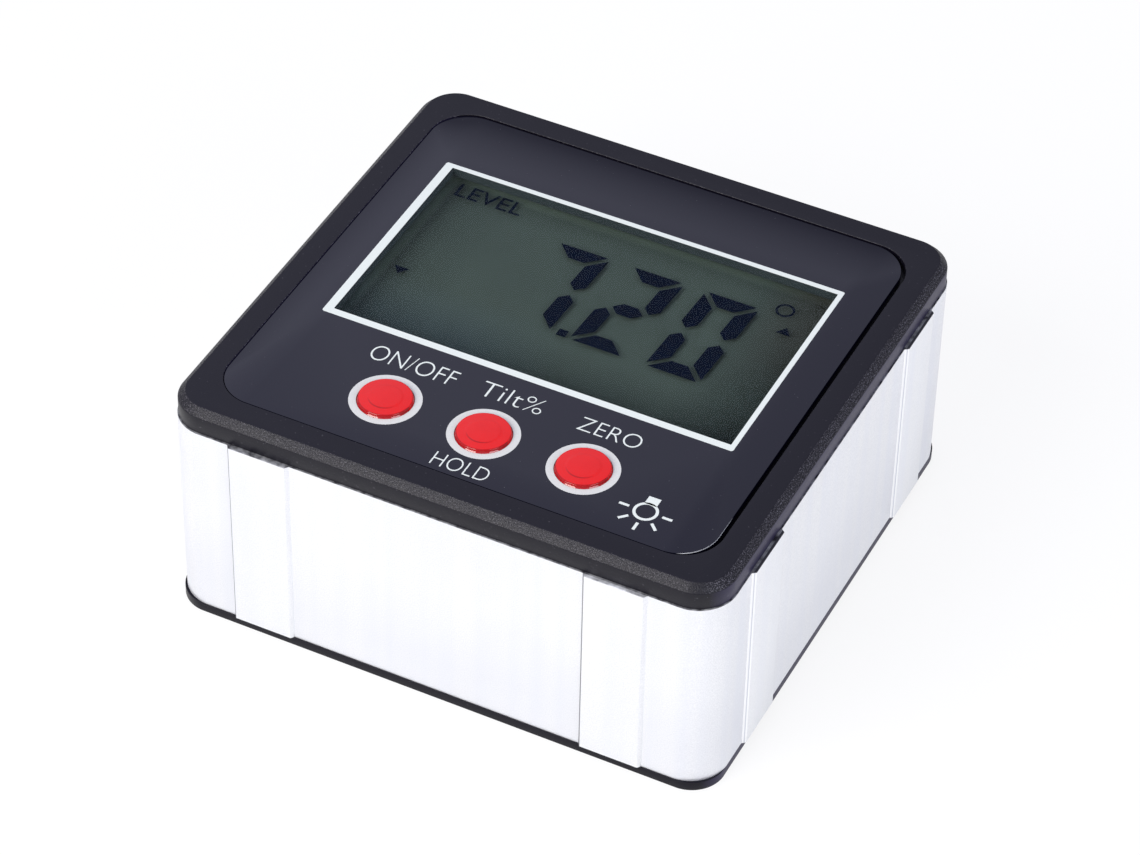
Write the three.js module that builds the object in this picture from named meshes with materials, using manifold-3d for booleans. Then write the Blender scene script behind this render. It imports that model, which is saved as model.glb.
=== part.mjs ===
// A digital inclinometer: a shallow box whose extruded aluminium frame carries flat contact rails on all
// four sides, closed by a black bezel with the display and keys, and by a back cover with the battery door.
// Millimetres. It lies on its back: X runs to the right of the display, Y to its upper edge,
// Z out of its face.
// The origin is the middle of the back cover's outer face.
import * as THREE from "three";
import { mergeVertices } from "three/addons/utils/BufferGeometryUtils.js";
import Module from "manifold-3d";

const wasm = await Module();
wasm.setup();

// Driving dimensions of the box. Its width, depth and height follow from what it holds, further down
const bezelHeight = 2.8; // bezel above the frame's upper end
const coverLip = 1.05; // back cover below the frame's lower end
const cornerRadius = 4.1;
const sideStep = 0.1; // bezel and cover stand this far inside the frame's plain sides
const frameWall = 2.4;
const railWidth = 6.85; // where it meets the face
const railProud = 0.4;
const railFlank = 0.3; // how far a rail's sides lean in
const railFromSide = 7.35; // outer corner of the box to the rail's outer edge

// Clearances
const fitGap = 0.1; // between a moulded rim and the wall that it enters
const slideGap = 0.1; // round a key cap, a plunger and the battery door
const looseGap = 0.3; // round a piece that drops into a pocket
const threadGap = 0.05; // round a screw in the hole that it holds in
const overrun = 1.0; // how far a cutting tool runs past the face that it opens

// Face panel and display window
const bezelSideBorder = 3.1; // bezel's outer wall to the pocket, to the left and right
const bezelEndBorder = 3.35; // the same, near and far
const bezelChamfer = 0.8;
const panelGap = 0.15; // beside the panel in its pocket, near and far
const panelPlay = 0.13; // wider gap to the left and right by this
const panelShift = 0.23; // the panel was bonded this far left of its pocket's middle
const panelCorner = 4.2;
const panelThickness = 1.0;
const panelSink = 0.1; // panel's face below the bezel's face
const adhesiveThickness = 0.1;
const adhesiveInset = 0.5;
const adhesiveStrip = 1.5; // least width of the sheet beside the display
const windowWidth = 43.8;
const windowDepth = 25.44;
const windowFromFarSide = 12.55; // box's far side to the window
const bondLine = 0.02; // round the lens in the panel

// Display stack, from the lens down to the board
const displayGap = 0.2;
const polariserThickness = 0.2;
const polariserMargin = 0.5;
const glassThickness = 1.1;
const glassMargin = 1.2;
const contactLedge = 2.6; // front glass past the rear glass, where its contacts are
const guideThickness = 3.0;
const boardThickness = 1.6;

// Keys
const keyPitch = 10.79;
const keyFromWindow = 9.71; // window's near edge to the keys' middle
const keyFromNearSide = 10.3; // keys' middle to the box's near side
const keyTravel = 0.3;
const capRadius = 2.8;
const capProud = 0.3; // cap's edge above the panel
const capCrown = 0.15;
const capEdge = 0.25; // radius of the cap's upper edge
const capFlange = 0.8;
const capFlangeRadius = 3.7;
const switchHalf = 3.0;
const legLength = 1.0;

// Battery cells, size AAA, and the compartment behind the door that holds two of them side by side
const cellRadius = 5.25;
const cellLength = 44.5;
const cellPitch = 11.2;
const cellGap = 0.3;
const contactThickness = 0.4;
const contactTouch = 0.1; // between a cell's pole and the contact that it presses on
const springLength = 4.3;
const trayWall = 1.2;
const trayFromFrame = 1.6; // room past the ends of the tray, inside the frame
const doorThickness = 0.95;
const wiringRoom = 5.25; // between the tray and the board

// Heights that follow, from the battery door up to the bezel's face
const cellZ = doorThickness + cellGap + cellRadius;
const trayRoof = cellZ + cellRadius + cellGap;
const boardBottom = trayRoof + trayWall + wiringRoom;
const boardTop = boardBottom + boardThickness;
const guideTop = boardTop + guideThickness;
const rearPolariserTop = guideTop + polariserThickness;
const rearGlassTop = rearPolariserTop + glassThickness;
const frontGlassTop = rearGlassTop + glassThickness;
const frontPolariserTop = frontGlassTop + polariserThickness;
const panelBottom = frontPolariserTop + displayGap;
const pocketFloor = panelBottom - adhesiveThickness;
const panelTop = panelBottom + panelThickness;
const bodyHeight = panelTop + panelSink;
const bezelBottom = bodyHeight - bezelHeight;
const flangeTop = bezelBottom - slideGap;
const plungerTop = flangeTop - capFlange;

// The box's width and depth: it is as wide as the battery tray or the display needs, whichever is wider,
// and as deep as the window and the keys with their margins
const trayHalfX = (cellLength + springLength + 2 * contactThickness + 2 * contactTouch) / 2;
const trayHalfY = cellPitch / 2 + cellRadius + cellGap;
const trayReach = trayHalfX + trayWall + trayFromFrame + frameWall;
const displayReach =
  windowWidth / 2 + glassMargin + looseGap + 2 * adhesiveInset + adhesiveStrip + panelShift + panelPlay
  + bezelSideBorder + sideStep;
const bodyWidth = 2 * Math.max(trayReach, displayReach);
const bodyDepth = windowFromFarSide + windowDepth + keyFromWindow + keyFromNearSide;
const windowCentreY = bodyDepth / 2 - windowFromFarSide - windowDepth / 2;
const keyCentreY = -bodyDepth / 2 + keyFromNearSide;

// Outlines that follow
const frameInnerX = bodyWidth / 2 - frameWall;
const frameInnerY = bodyDepth / 2 - frameWall;
const shellX = bodyWidth / 2 - sideStep;
const shellY = bodyDepth / 2 - sideStep;
const shellRadius = cornerRadius - sideStep;
const pocketX = shellX - bezelSideBorder;
const pocketY = shellY - bezelEndBorder;
const panelX = pocketX - panelGap - panelPlay;
const panelY = pocketY - panelGap;
const glassX = windowWidth / 2 + glassMargin;
const glassNearY = windowCentreY - windowDepth / 2 - glassMargin;
const rearGlassFarY = windowCentreY + windowDepth / 2 + glassMargin;
const frontGlassFarY = rearGlassFarY + contactLedge;
const wellX = glassX + looseGap;
const wellNearY = glassNearY - looseGap;
const wellFarY = frontGlassFarY + looseGap;
const keys = [
  { name: "power", x: -keyPitch },
  { name: "hold", x: 0 },
  { name: "zero", x: keyPitch },
];
const sides = [-1, 1];

// Places along a line, evenly about its middle
const spread = (count, pitch) => Array.from({ length: count }, (_, i) => (i - (count - 1) / 2) * pitch);

// Solids: three.js makes the shapes, the kernel joins and cuts them
const weldDistance = 1e-5; // corners of one shape closer than this are one point

function toSolid(geometry) {
  const bare = geometry.clone();
  bare.deleteAttribute("normal");
  bare.deleteAttribute("uv");
  const merged = mergeVertices(bare, weldDistance);
  return new wasm.Manifold(
    new wasm.Mesh({
      numProp: 3,
      vertProperties: new Float32Array(merged.attributes.position.array),
      triVerts: new Uint32Array(merged.index.array),
    }),
  );
}

function toGeometry(solid) {
  const mesh = solid.getMesh();
  const geometry = new THREE.BufferGeometry();
  geometry.setAttribute("position", new THREE.BufferAttribute(new Float32Array(mesh.vertProperties), 3));
  geometry.setIndex(new THREE.BufferAttribute(new Uint32Array(mesh.triVerts), 1));
  geometry.computeVertexNormals();
  return geometry;
}

const join = (first, ...others) => others.reduce((sum, next) => sum.add(next), first);
const cut = (first, ...tools) => tools.reduce((rest, tool) => rest.subtract(tool), first);

// Basic forms, each already in its place
function block(x0, x1, y0, y1, z0, z1) {
  const geometry = new THREE.BoxGeometry(x1 - x0, y1 - y0, z1 - z0);
  return toSolid(geometry.translate((x0 + x1) / 2, (y0 + y1) / 2, (z0 + z1) / 2));
}

function roundedRect(halfX, halfY, radius, centreX = 0, centreY = 0) {
  const shape = new THREE.Shape();
  const x = halfX - radius;
  const y = halfY - radius;
  const quarter = Math.PI / 2;
  shape.absarc(centreX + x, centreY - y, radius, -quarter, 0);
  shape.absarc(centreX + x, centreY + y, radius, 0, quarter);
  shape.absarc(centreX - x, centreY + y, radius, quarter, 2 * quarter);
  shape.absarc(centreX - x, centreY - y, radius, 2 * quarter, 3 * quarter);
  return shape;
}

function plate(shape, z0, z1, curveSegments = 4) {
  const geometry = new THREE.ExtrudeGeometry(shape, { depth: z1 - z0, bevelEnabled: false, curveSegments });
  return toSolid(geometry.translate(0, 0, z0));
}

// A plate whose upper edge is chamfered all round
function chamferedPlate(shape, reach, z0, z1, chamfer, curveSegments = 4) {
  const geometry = new THREE.ExtrudeGeometry(shape, {
    depth: z1 - z0 - chamfer,
    bevelThickness: chamfer,
    bevelSize: chamfer,
    bevelOffset: -chamfer,
    bevelSegments: 1,
    curveSegments,
  });
  const whole = toSolid(geometry.translate(0, 0, z0));
  return cut(whole, block(-reach, reach, -reach, reach, z0 - chamfer - overrun, z0));
}

function post(x, y, radius, z0, z1, facets = 24) {
  const geometry = new THREE.CylinderGeometry(radius, radius, z1 - z0, facets);
  return toSolid(geometry.rotateX(Math.PI / 2).translate(x, y, (z0 + z1) / 2));
}

// A profile of [radius, height] points turned about the Z axis
function turned(profile, facets = 24) {
  const points = profile.map(([radius, height]) => new THREE.Vector2(radius, height));
  return new THREE.LatheGeometry(points, facets).rotateX(Math.PI / 2);
}

// A round wire along a curve
function wireAlong(curve, radius, steps, facets) {
  const section = new THREE.Shape();
  for (let i = 0; i < facets; i += 1) {
    const angle = (2 * Math.PI * i) / facets;
    const place = [radius * Math.cos(angle), radius * Math.sin(angle)];
    if (i === 0) section.moveTo(...place);
    else section.lineTo(...place);
  }
  return new THREE.ExtrudeGeometry(section, { extrudePath: curve, steps, bevelEnabled: false });
}

// Finishes
const finish = (color, roughness, metalness = 0) =>
  new THREE.MeshStandardMaterial({ color, roughness, metalness });
const blackAbs = finish(0x303039, 0.5);
const panelBlack = finish(0x353743, 0.15);
const clearAcrylic = finish(0xdfe6e2, 0.05);
const anodised = finish(0xdcdde2, 0.35, 0.9);
const redAbs = finish(0xe8262c, 0.2);
const glass = finish(0x9fb0a6, 0.1);
const film = finish(0x46504c, 0.3);
const milky = finish(0xe9ecea, 0.4);
const adhesive = finish(0xd8d4c4, 0.8);
const greenBoard = finish(0x1f6a43, 0.5);
const blackChip = finish(0x202022, 0.6);
const silicone = finish(0xc9c9c4, 0.7);
const nickel = finish(0xb9bcc0, 0.3, 1.0);
const steel = finish(0x9a9ca0, 0.35, 1.0);
const cellWrap = finish(0x2c4a7c, 0.35, 0.3);
const redWire = finish(0xb3201c, 0.5);
const blackWire = finish(0x161618, 0.5);

const inclinometer = new THREE.Group();
inclinometer.name = "inclinometer";

function addPiece(name, shape, material) {
  const geometry = shape.isBufferGeometry ? shape : toGeometry(shape);
  const mesh = new THREE.Mesh(geometry, material);
  mesh.name = name;
  inclinometer.add(mesh);
  return mesh;
}

// Screws: two sizes, for the cover and for the board, and the bosses that take them
const coverScrew = { radius: 1.0, length: 11.0, head: 1.9, headHeight: 1.4, headSink: 0.4, boss: 2.8 };
const boardScrew = { radius: 0.9, length: 4.6, head: 1.8, headHeight: 1.2, boss: 1.9 };
const bossFromWall = 0.4; // corner boss clear of the frame's inner walls
const crossWidth = 0.5;
const crossLength = 2.0;
const crossDepth = 0.6;
const coverFloor = 2.2; // inner face of the back cover
const coverBossHeight = 1.8;
const coverBossTop = coverFloor + coverBossHeight;
const cornerBossX = frameInnerX - coverScrew.boss - bossFromWall;
const cornerBossY = frameInnerY - coverScrew.boss - bossFromWall;
const rimWall = 1.2;
const rimDepth = 2.0;
const rimOuterX = frameInnerX - fitGap;
const rimOuterY = frameInnerY - fitGap;
const wellWall = 1.0;
const webWall = 0.8; // webs that brace the display well against the rim
const webCount = 3;
const webPitch = 9.0;
const boardNotch = coverScrew.boss + looseGap; // the board's corner notch, past the corner boss's axis
const boardBossFarX = 14.6;
const boardBossFarY = (wellFarY + wellWall + rimOuterY - rimWall) / 2; // between the well and the rim
const boardBossNearX = (keyPitch + switchHalf + legLength + cornerBossX - boardNotch) / 2;
const boardBosses = [
  ...sides.map((side) => ({ x: side * boardBossFarX, y: boardBossFarY })),
  ...sides.map((side) => ({ x: side * boardBossNearX, y: keyCentreY })),
];

function cornerPlaces() {
  return sides.flatMap((sideY) => sides.map((sideX) => ({ x: sideX * cornerBossX, y: sideY * cornerBossY })));
}

// Bezel: chamfered plate with the panel's pocket, the display well and the key holes; behind it a rim that
// enters the frame, the well's walls, four long corner bosses and four short ones for the board
function frontBezel() {
  const outline = roundedRect(shellX, shellY, shellRadius);
  const face = chamferedPlate(outline, bodyWidth, bezelBottom, bodyHeight, bezelChamfer);
  const pocket = roundedRect(pocketX, pocketY, panelCorner + panelGap);
  const rimRadius = cornerRadius - frameWall;
  const rimBottom = bezelBottom - rimDepth;
  const rim = cut(
    plate(roundedRect(rimOuterX, rimOuterY, rimRadius), rimBottom, bezelBottom + overrun),
    block(-rimOuterX + rimWall, rimOuterX - rimWall, -rimOuterY + rimWall, rimOuterY - rimWall,
      rimBottom - overrun, bezelBottom + overrun + overrun),
  );
  const wellBottom = boardTop + looseGap;
  const wellWalls = block(-wellX - wellWall, wellX + wellWall, wellNearY - wellWall, wellFarY + wellWall,
    wellBottom, bezelBottom + overrun);
  const webs = sides.flatMap((side) =>
    spread(webCount, webPitch).map((along) => {
      const y = (wellNearY + wellFarY) / 2 + along;
      const inner = side * (wellX + wellWall / 2);
      const outer = side * (rimOuterX - rimWall / 2);
      return block(Math.min(inner, outer), Math.max(inner, outer), y - webWall / 2, y + webWall / 2,
        rimBottom, bezelBottom + overrun);
    }),
  );
  const bosses = [
    ...cornerPlaces().map(({ x, y }) => post(x, y, coverScrew.boss, coverBossTop, bezelBottom + overrun)),
    ...boardBosses.map(({ x, y }) => post(x, y, boardScrew.boss, boardTop, bezelBottom + overrun)),
  ];
  const screwHoles = [
    ...cornerPlaces().map(({ x, y }) =>
      post(x, y, coverScrew.radius + threadGap, coverBossTop - overrun,
        coverBossTop + coverScrew.length, 12)),
    ...boardBosses.map(({ x, y }) =>
      post(x, y, boardScrew.radius + threadGap, boardTop - overrun,
        boardBottom + boardScrew.length + threadGap, 12)),
  ];
  const well = block(-wellX, wellX, wellNearY, wellFarY, wellBottom - overrun, bodyHeight + overrun);
  const keyHoles = keys.map(({ x }) =>
    post(x, keyCentreY, capRadius + slideGap, bezelBottom - overrun, bodyHeight + overrun, 32));
  return cut(
    join(face, rim, wellWalls, ...webs, ...bosses),
    plate(pocket, pocketFloor, bodyHeight + overrun),
    well,
    ...keyHoles,
    ...screwHoles,
  );
}

// Face panel: the printed plate, with the lens opening and three key holes
function facePanel() {
  const outline = roundedRect(panelX, panelY, panelCorner, -panelShift);
  const body = plate(outline, panelBottom, panelTop);
  const keyHoles = keys.map(({ x }) =>
    post(x, keyCentreY, capRadius + slideGap, panelBottom - overrun, panelTop + overrun, 32));
  return cut(body, windowBlock(panelBottom - overrun, panelTop + overrun, 0), ...keyHoles);
}

function windowBlock(z0, z1, inset) {
  return block(
    -windowWidth / 2 + inset, windowWidth / 2 - inset,
    windowCentreY - windowDepth / 2 + inset, windowCentreY + windowDepth / 2 - inset, z0, z1,
  );
}

function panelAdhesive() {
  const outline = roundedRect(panelX - adhesiveInset, panelY - adhesiveInset, panelCorner, -panelShift);
  const sheet = plate(outline, pocketFloor, panelBottom);
  const keyHoles = keys.map(({ x }) =>
    post(x, keyCentreY, capRadius + adhesiveInset, pocketFloor - overrun, panelBottom + overrun));
  const well = block(-wellX - adhesiveInset, wellX + adhesiveInset, wellNearY - adhesiveInset,
    wellFarY + adhesiveInset, pocketFloor - overrun, panelBottom + overrun);
  return cut(sheet, well, ...keyHoles);
}

// Frame: one closed extrusion with two rails on each side, sawn to length; magnets sit in pockets behind
// the rails of the near side
const magnetRadius = 4.5;
const magnetThickness = 1.4; // flush with the frame's inner wall
const magnetZ = (coverLip + bezelBottom) / 2;
const railCentreX = bodyWidth / 2 - railFromSide - railWidth / 2;

function magnetDisc(x, radius, y0, y1) {
  const geometry = new THREE.CylinderGeometry(radius, radius, y1 - y0, 32);
  return toSolid(geometry.translate(x, (y0 + y1) / 2, magnetZ));
}

// The extrusion's section: for each side the two rails and then the corner arc, anticlockwise from +X
function frameSection() {
  const section = new THREE.Shape();
  for (let side = 0; side < 4; side += 1) {
    const angle = (side * Math.PI) / 2;
    const face = (side % 2 === 0 ? bodyWidth : bodyDepth) / 2;
    const end = (side % 2 === 0 ? bodyDepth : bodyWidth) / 2;
    const place = (out, along) => [
      Math.round(Math.cos(angle)) * out - Math.round(Math.sin(angle)) * along,
      Math.round(Math.sin(angle)) * out + Math.round(Math.cos(angle)) * along,
    ];
    const railOuter = end - railFromSide;
    const railInner = railOuter - railWidth;
    const draw = (out, along) => section.lineTo(...place(out, along));
    if (side === 0) section.moveTo(...place(face, cornerRadius - end));
    [[-railOuter, -railInner], [railInner, railOuter]].forEach(([from, to]) => {
      draw(face, from);
      draw(face + railProud, from + railFlank);
      draw(face + railProud, to - railFlank);
      draw(face, to);
    });
    const [arcX, arcY] = place(face - cornerRadius, end - cornerRadius);
    section.absarc(arcX, arcY, cornerRadius, angle, angle + Math.PI / 2);
  }
  section.holes.push(roundedRect(frameInnerX, frameInnerY, cornerRadius - frameWall));
  return section;
}

function aluminiumFrame() {
  const pockets = sides.map((side) =>
    magnetDisc(side * railCentreX, magnetRadius + slideGap,
      -frameInnerY - magnetThickness, -frameInnerY + overrun));
  return cut(plate(frameSection(), coverLip, bezelBottom), ...pockets);
}

function baseMagnet(side) {
  return magnetDisc(side * railCentreX, magnetRadius, -frameInnerY - magnetThickness, -frameInnerY);
}

// Battery compartment: a tray moulded on the back cover, open to the door. Its roof is two barrels that
// follow the cells, and gussets brace its long walls on the cover's floor
const doorTongue = 1.0; // how far the tongues run into the cover's grooves
const doorTongueThickness = 0.5;
const doorMargin = 1.3; // door past the compartment's side walls
const doorEndMargin = 1.4; // door past the compartment's mouth at its inner end
const mouthLip = 1.3; // ledge at each end of the mouth, which keeps the contacts in
const mouthX = trayHalfX - mouthLip;
const doorHalfY = trayHalfY + doorMargin;
const doorInnerX = mouthX + doorEndMargin;
const tabHalfY = 1.5;
const tabRise = 1.7; // contact tab above the tray's roof
const ridgeRise = 2.2; // the roof's inner ridge ends this far above the cells' axes
const contactHalfY = 4.4;
const contactHalfZ = 3.8;
const gussetWall = 1.0;
const gussetCount = 5;
const gussetPitch = 10.0;
const gussetHeight = 4.0;
const gussetReach = 11.0;
const gussetEnd = 0.5; // height that is left at its outer end

// The room for one cell, or the form round it: straight up to the cell's axis under half a barrel
function cellBay(side, halfX, wall, bottom) {
  const middle = (side * cellPitch) / 2;
  const radius = cellRadius + cellGap + wall;
  const section = new THREE.Shape();
  section.moveTo(middle - radius, bottom);
  section.lineTo(middle + radius, bottom);
  section.absarc(middle, cellZ, radius, 0, Math.PI);
  const run = { depth: 2 * halfX, bevelEnabled: false, curveSegments: 18 };
  const geometry = new THREE.ExtrudeGeometry(section, run);
  return toSolid(geometry.rotateX(Math.PI / 2).rotateZ(Math.PI / 2).translate(-halfX, 0, 0));
}

// A gusset on the cover's floor, tall at the tray's wall and low at its outer end
function trayGusset(x, side) {
  const root = (trayWall / 2) * side; // rooted in the tray's wall and in the floor
  const profile = new THREE.Shape();
  profile.moveTo(0, -coverFloor / 2);
  profile.lineTo(gussetReach, -coverFloor / 2);
  profile.lineTo(gussetReach, gussetEnd);
  profile.lineTo(0, gussetHeight);
  const geometry = new THREE.ExtrudeGeometry(profile, { depth: gussetWall, bevelEnabled: false });
  geometry.rotateX(Math.PI / 2).rotateZ((side * Math.PI) / 2);
  const y = side * (trayHalfY + trayWall) - root;
  return toSolid(geometry.translate(x - (side * gussetWall) / 2, y, coverFloor));
}

function backCover() {
  const lip = plate(roundedRect(shellX, shellY, shellRadius), 0, coverLip);
  const spigot = plate(roundedRect(rimOuterX, rimOuterY, cornerRadius - frameWall), coverLip / 2, coverFloor);
  const tray = sides.map((side) => cellBay(side, trayHalfX + trayWall, trayWall, coverLip));
  const gussets = sides.flatMap((side) => spread(gussetCount, gussetPitch).map((x) => trayGusset(x, side)));
  const bosses = cornerPlaces().map(({ x, y }) => post(x, y, coverScrew.boss, coverLip, coverBossTop));
  const compartment = sides.map((side) => cellBay(side, trayHalfX, 0, coverFloor));
  const ridgeEnd = block(-trayHalfX, trayHalfX, -cellPitch / 2, cellPitch / 2, coverFloor, cellZ + ridgeRise);
  const contactSeats = sides.map((side) => contactSeat(side));
  const mouth = block(-mouthX, mouthX, -trayHalfY, trayHalfY, -overrun, coverFloor + overrun);
  const slot = block(-shellX - overrun, doorInnerX + slideGap, -doorHalfY - slideGap, doorHalfY + slideGap,
    -overrun, coverLip);
  const grooveBottom = doorThickness - doorTongueThickness - slideGap / 2;
  const grooveHalfY = doorHalfY + doorTongue + slideGap;
  const groove = block(-shellX - overrun, doorInnerX + slideGap, -grooveHalfY, grooveHalfY,
    grooveBottom, coverLip);
  const headSeat = coverScrew.headSink + coverScrew.headHeight;
  const screwHoles = cornerPlaces().flatMap(({ x, y }) => [
    post(x, y, coverScrew.head + slideGap, -overrun, headSeat),
    post(x, y, coverScrew.radius + slideGap, -overrun, coverBossTop + overrun, 12),
  ]);
  const tabSlots = [
    tabSlot(1, cellPitch / 2),
    tabSlot(1, -cellPitch / 2),
  ];
  return cut(
    join(lip, spigot, ...tray, ...gussets, ...bosses),
    ...compartment,
    ridgeEnd,
    mouth,
    slot,
    groove,
    ...contactSeats,
    ...screwHoles,
    ...tabSlots,
  );
}

// Room for the contact plates at one end of the tray, square where the roof is round
function contactSeat(end) {
  const outer = end * trayHalfX;
  const inner = end * (trayHalfX - contactThickness - slideGap);
  const halfY = cellPitch / 2 + contactHalfY + slideGap;
  return block(Math.min(outer, inner), Math.max(outer, inner), -halfY, halfY,
    coverFloor, cellZ + contactHalfZ + slideGap);
}

function tabSlot(end, y) {
  const outer = end * (trayHalfX + slideGap);
  const inner = end * (trayHalfX - contactThickness - slideGap);
  return block(Math.min(outer, inner), Math.max(outer, inner),
    y - tabHalfY - slideGap, y + tabHalfY + slideGap, trayRoof - overrun, trayRoof + trayWall + overrun);
}

// Battery door: slides out towards -X on two tongues; finger grooves and an arrow are sunk in its face
const gripGrooves = 6;
const gripPitch = 1.6;
const gripWidth = 0.8;
const gripHalfLength = 6.0;
const gripDepth = 0.35;
const gripFromEnd = 8.0;
const arrowLength = 4.0;
const arrowHalfWidth = 3.0;
const arrowGap = 2.5;

function batteryDoor() {
  const leaf = block(-shellX, doorInnerX, -doorHalfY, doorHalfY, 0, doorThickness);
  const tongues = block(-shellX, doorInnerX, -doorHalfY - doorTongue, doorHalfY + doorTongue,
    doorThickness - doorTongueThickness, doorThickness);
  const gripStart = -shellX + gripFromEnd;
  const grooves = Array.from({ length: gripGrooves }, (_, i) => {
    const x = gripStart + i * gripPitch;
    return block(x, x + gripWidth, -gripHalfLength, gripHalfLength, -overrun, gripDepth);
  });
  const arrowStart = gripStart + gripGrooves * gripPitch + arrowGap;
  const arrow = new THREE.Shape();
  arrow.moveTo(arrowStart, 0);
  arrow.lineTo(arrowStart + arrowLength, -arrowHalfWidth);
  arrow.lineTo(arrowStart + arrowLength, arrowHalfWidth);
  return cut(join(leaf, tongues), ...grooves, plate(arrow, -overrun, gripDepth));
}

// Cells: poles point opposite ways, so the bridge at the -X end joins them in series
const cellPole = 1.9;
const cellPoleLength = 1.0;
const cellEdge = 0.35;
const cellCrimpDepth = 0.2;

function cell(side) {
  const can = cellLength - cellPoleLength;
  const profile = [
    [0, 0],
    [cellRadius - cellEdge, 0],
    [cellRadius, cellEdge],
    [cellRadius, can - 3 * cellEdge],
    [cellRadius - cellCrimpDepth, can - 2 * cellEdge],
    [cellRadius - cellEdge, can],
    [cellPole, can],
    [cellPole, cellLength],
    [0, cellLength],
  ];
  const geometry = turned(profile, 28);
  geometry.rotateY(Math.PI / 2);
  const start = -trayHalfX + contactThickness + springLength + contactTouch;
  geometry.translate(start, (side * cellPitch) / 2, cellZ);
  if (side < 0) geometry.rotateZ(Math.PI);
  if (side < 0) geometry.translate(0, -cellPitch, 0);
  return toSolid(geometry);
}

// Contacts: sprung strip plates; each spring is a cone of wire on its plate
const springTurns = 3.5;
const springWire = 0.35;
const springBaseRadius = 3.6;
const springTipRadius = 2.2;

class ConeSpring extends THREE.Curve {
  constructor(length) {
    super();
    this.length = length;
  }

  getPoint(t, target = new THREE.Vector3()) {
    const angle = 2 * Math.PI * springTurns * t;
    const radius = springBaseRadius + (springTipRadius - springBaseRadius) * t;
    return target.set(radius * Math.cos(angle), radius * Math.sin(angle), this.length * t);
  }
}

// A contact plate at the end of the tray, for the cell at the given side
function contactPlate(end, y0, y1) {
  const outer = end * trayHalfX;
  const inner = end * (trayHalfX - contactThickness);
  return block(Math.min(outer, inner), Math.max(outer, inner), y0, y1,
    cellZ - contactHalfZ, cellZ + contactHalfZ);
}

function contactSpring(end, side) {
  const wire = wireAlong(new ConeSpring(springLength - springWire), springWire, 36, 6);
  wire.rotateY((-end * Math.PI) / 2);
  wire.translate(end * (trayHalfX - contactThickness), (side * cellPitch) / 2, cellZ);
  return toSolid(wire);
}

function solderTab(side) {
  const y = (side * cellPitch) / 2;
  return block(trayHalfX - contactThickness, trayHalfX, y - tabHalfY, y + tabHalfY,
    cellZ, trayRoof + trayWall + tabRise);
}

function contactBridge() {
  const strip = contactPlate(-1, -cellPitch / 2 - contactHalfY, cellPitch / 2 + contactHalfY);
  return join(strip, contactSpring(-1, 1));
}

function contactPositive() {
  const y = cellPitch / 2;
  return join(contactPlate(1, y - contactHalfY, y + contactHalfY), solderTab(1));
}

function contactNegative() {
  const y = -cellPitch / 2;
  return join(contactPlate(1, y - contactHalfY, y + contactHalfY), solderTab(-1), contactSpring(1, -1));
}

// Leads from the contacts' tabs up to the board
const leadRadius = 0.55;
const leadRun = 4.5;
const leadStraight = 0.9;

function batteryLead(side) {
  const x = trayHalfX - contactThickness / 2;
  const y = (side * cellPitch) / 2;
  const start = trayRoof + trayWall + tabRise + looseGap;
  const end = boardBottom - looseGap;
  const middle = (start + end) / 2;
  const route = new THREE.CatmullRomCurve3([
    new THREE.Vector3(x, y, start),
    new THREE.Vector3(x, y, start + leadStraight / 2),
    new THREE.Vector3(x - leadRun / 2, y + (side * leadRun) / 4, middle),
    new THREE.Vector3(x - leadRun, y + (side * leadRun) / 2, end - leadStraight / 2),
    new THREE.Vector3(x - leadRun, y + (side * leadRun) / 2, end),
  ]);
  return wireAlong(route, leadRadius, 14, 8);
}

// Display stack
function polariser(top) {
  const x = windowWidth / 2 + polariserMargin;
  const y = windowDepth / 2 + polariserMargin;
  return block(-x, x, windowCentreY - y, windowCentreY + y, top - polariserThickness, top);
}

function glassPlate(top, farY) {
  return block(-glassX, glassX, glassNearY, farY, top - glassThickness, top);
}

// Light guide: clear block under the glass, notched at its left end for the two lamps
const ledLength = 3.0;
const ledWidth = 0.9;
const ledHeight = 1.2;
const ledOffsetY = 7.0;

function backlightGuide() {
  const body = block(-glassX, glassX, glassNearY, rearGlassFarY, boardTop, guideTop);
  const notches = sides.map((side) => {
    const y = windowCentreY + side * ledOffsetY;
    const half = ledLength / 2 + slideGap;
    return block(-glassX - overrun, -glassX + ledWidth + slideGap, y - half, y + half,
      boardTop - overrun, boardTop + ledHeight + slideGap);
  });
  return cut(body, ...notches);
}

function backlightLed(side) {
  const y = windowCentreY + side * ledOffsetY;
  return block(-glassX, -glassX + ledWidth, y - ledLength / 2, y + ledLength / 2,
    boardTop, boardTop + ledHeight);
}

function elastomerConnector() {
  const nearY = rearGlassFarY + looseGap;
  return block(-glassX + glassMargin, glassX - glassMargin, nearY, frontGlassFarY - slideGap,
    boardTop, rearGlassTop);
}

// Board: notched at its corners round the long bosses, drilled for its screws
const boardClear = 0.5;

function mainBoard() {
  const x = frameInnerX - boardClear;
  const y = frameInnerY - boardClear;
  const board = block(-x, x, -y, y, boardBottom, boardTop);
  const notches = sides.flatMap((sideY) =>
    sides.map((sideX) => {
      const nx = sideX * (cornerBossX - boardNotch);
      const ny = sideY * (cornerBossY - boardNotch);
      const farX = sideX * (x + overrun);
      const farY = sideY * (y + overrun);
      return block(Math.min(nx, farX), Math.max(nx, farX), Math.min(ny, farY), Math.max(ny, farY),
        boardBottom - overrun, boardTop + overrun);
    }),
  );
  const holes = boardBosses.map((place) =>
    post(place.x, place.y, boardScrew.radius + slideGap, boardBottom - overrun, boardTop + overrun, 16));
  return cut(board, ...notches, ...holes);
}

// Key caps, and the switches that they press
const switchHeight = 2.3;
const switchCorner = 0.5;
const plungerRadius = 1.75;
const plungerLength = 2.0;
const legHalfWidth = 0.35;
const legThickness = 0.25;
const legSpacing = 2.25;

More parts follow.
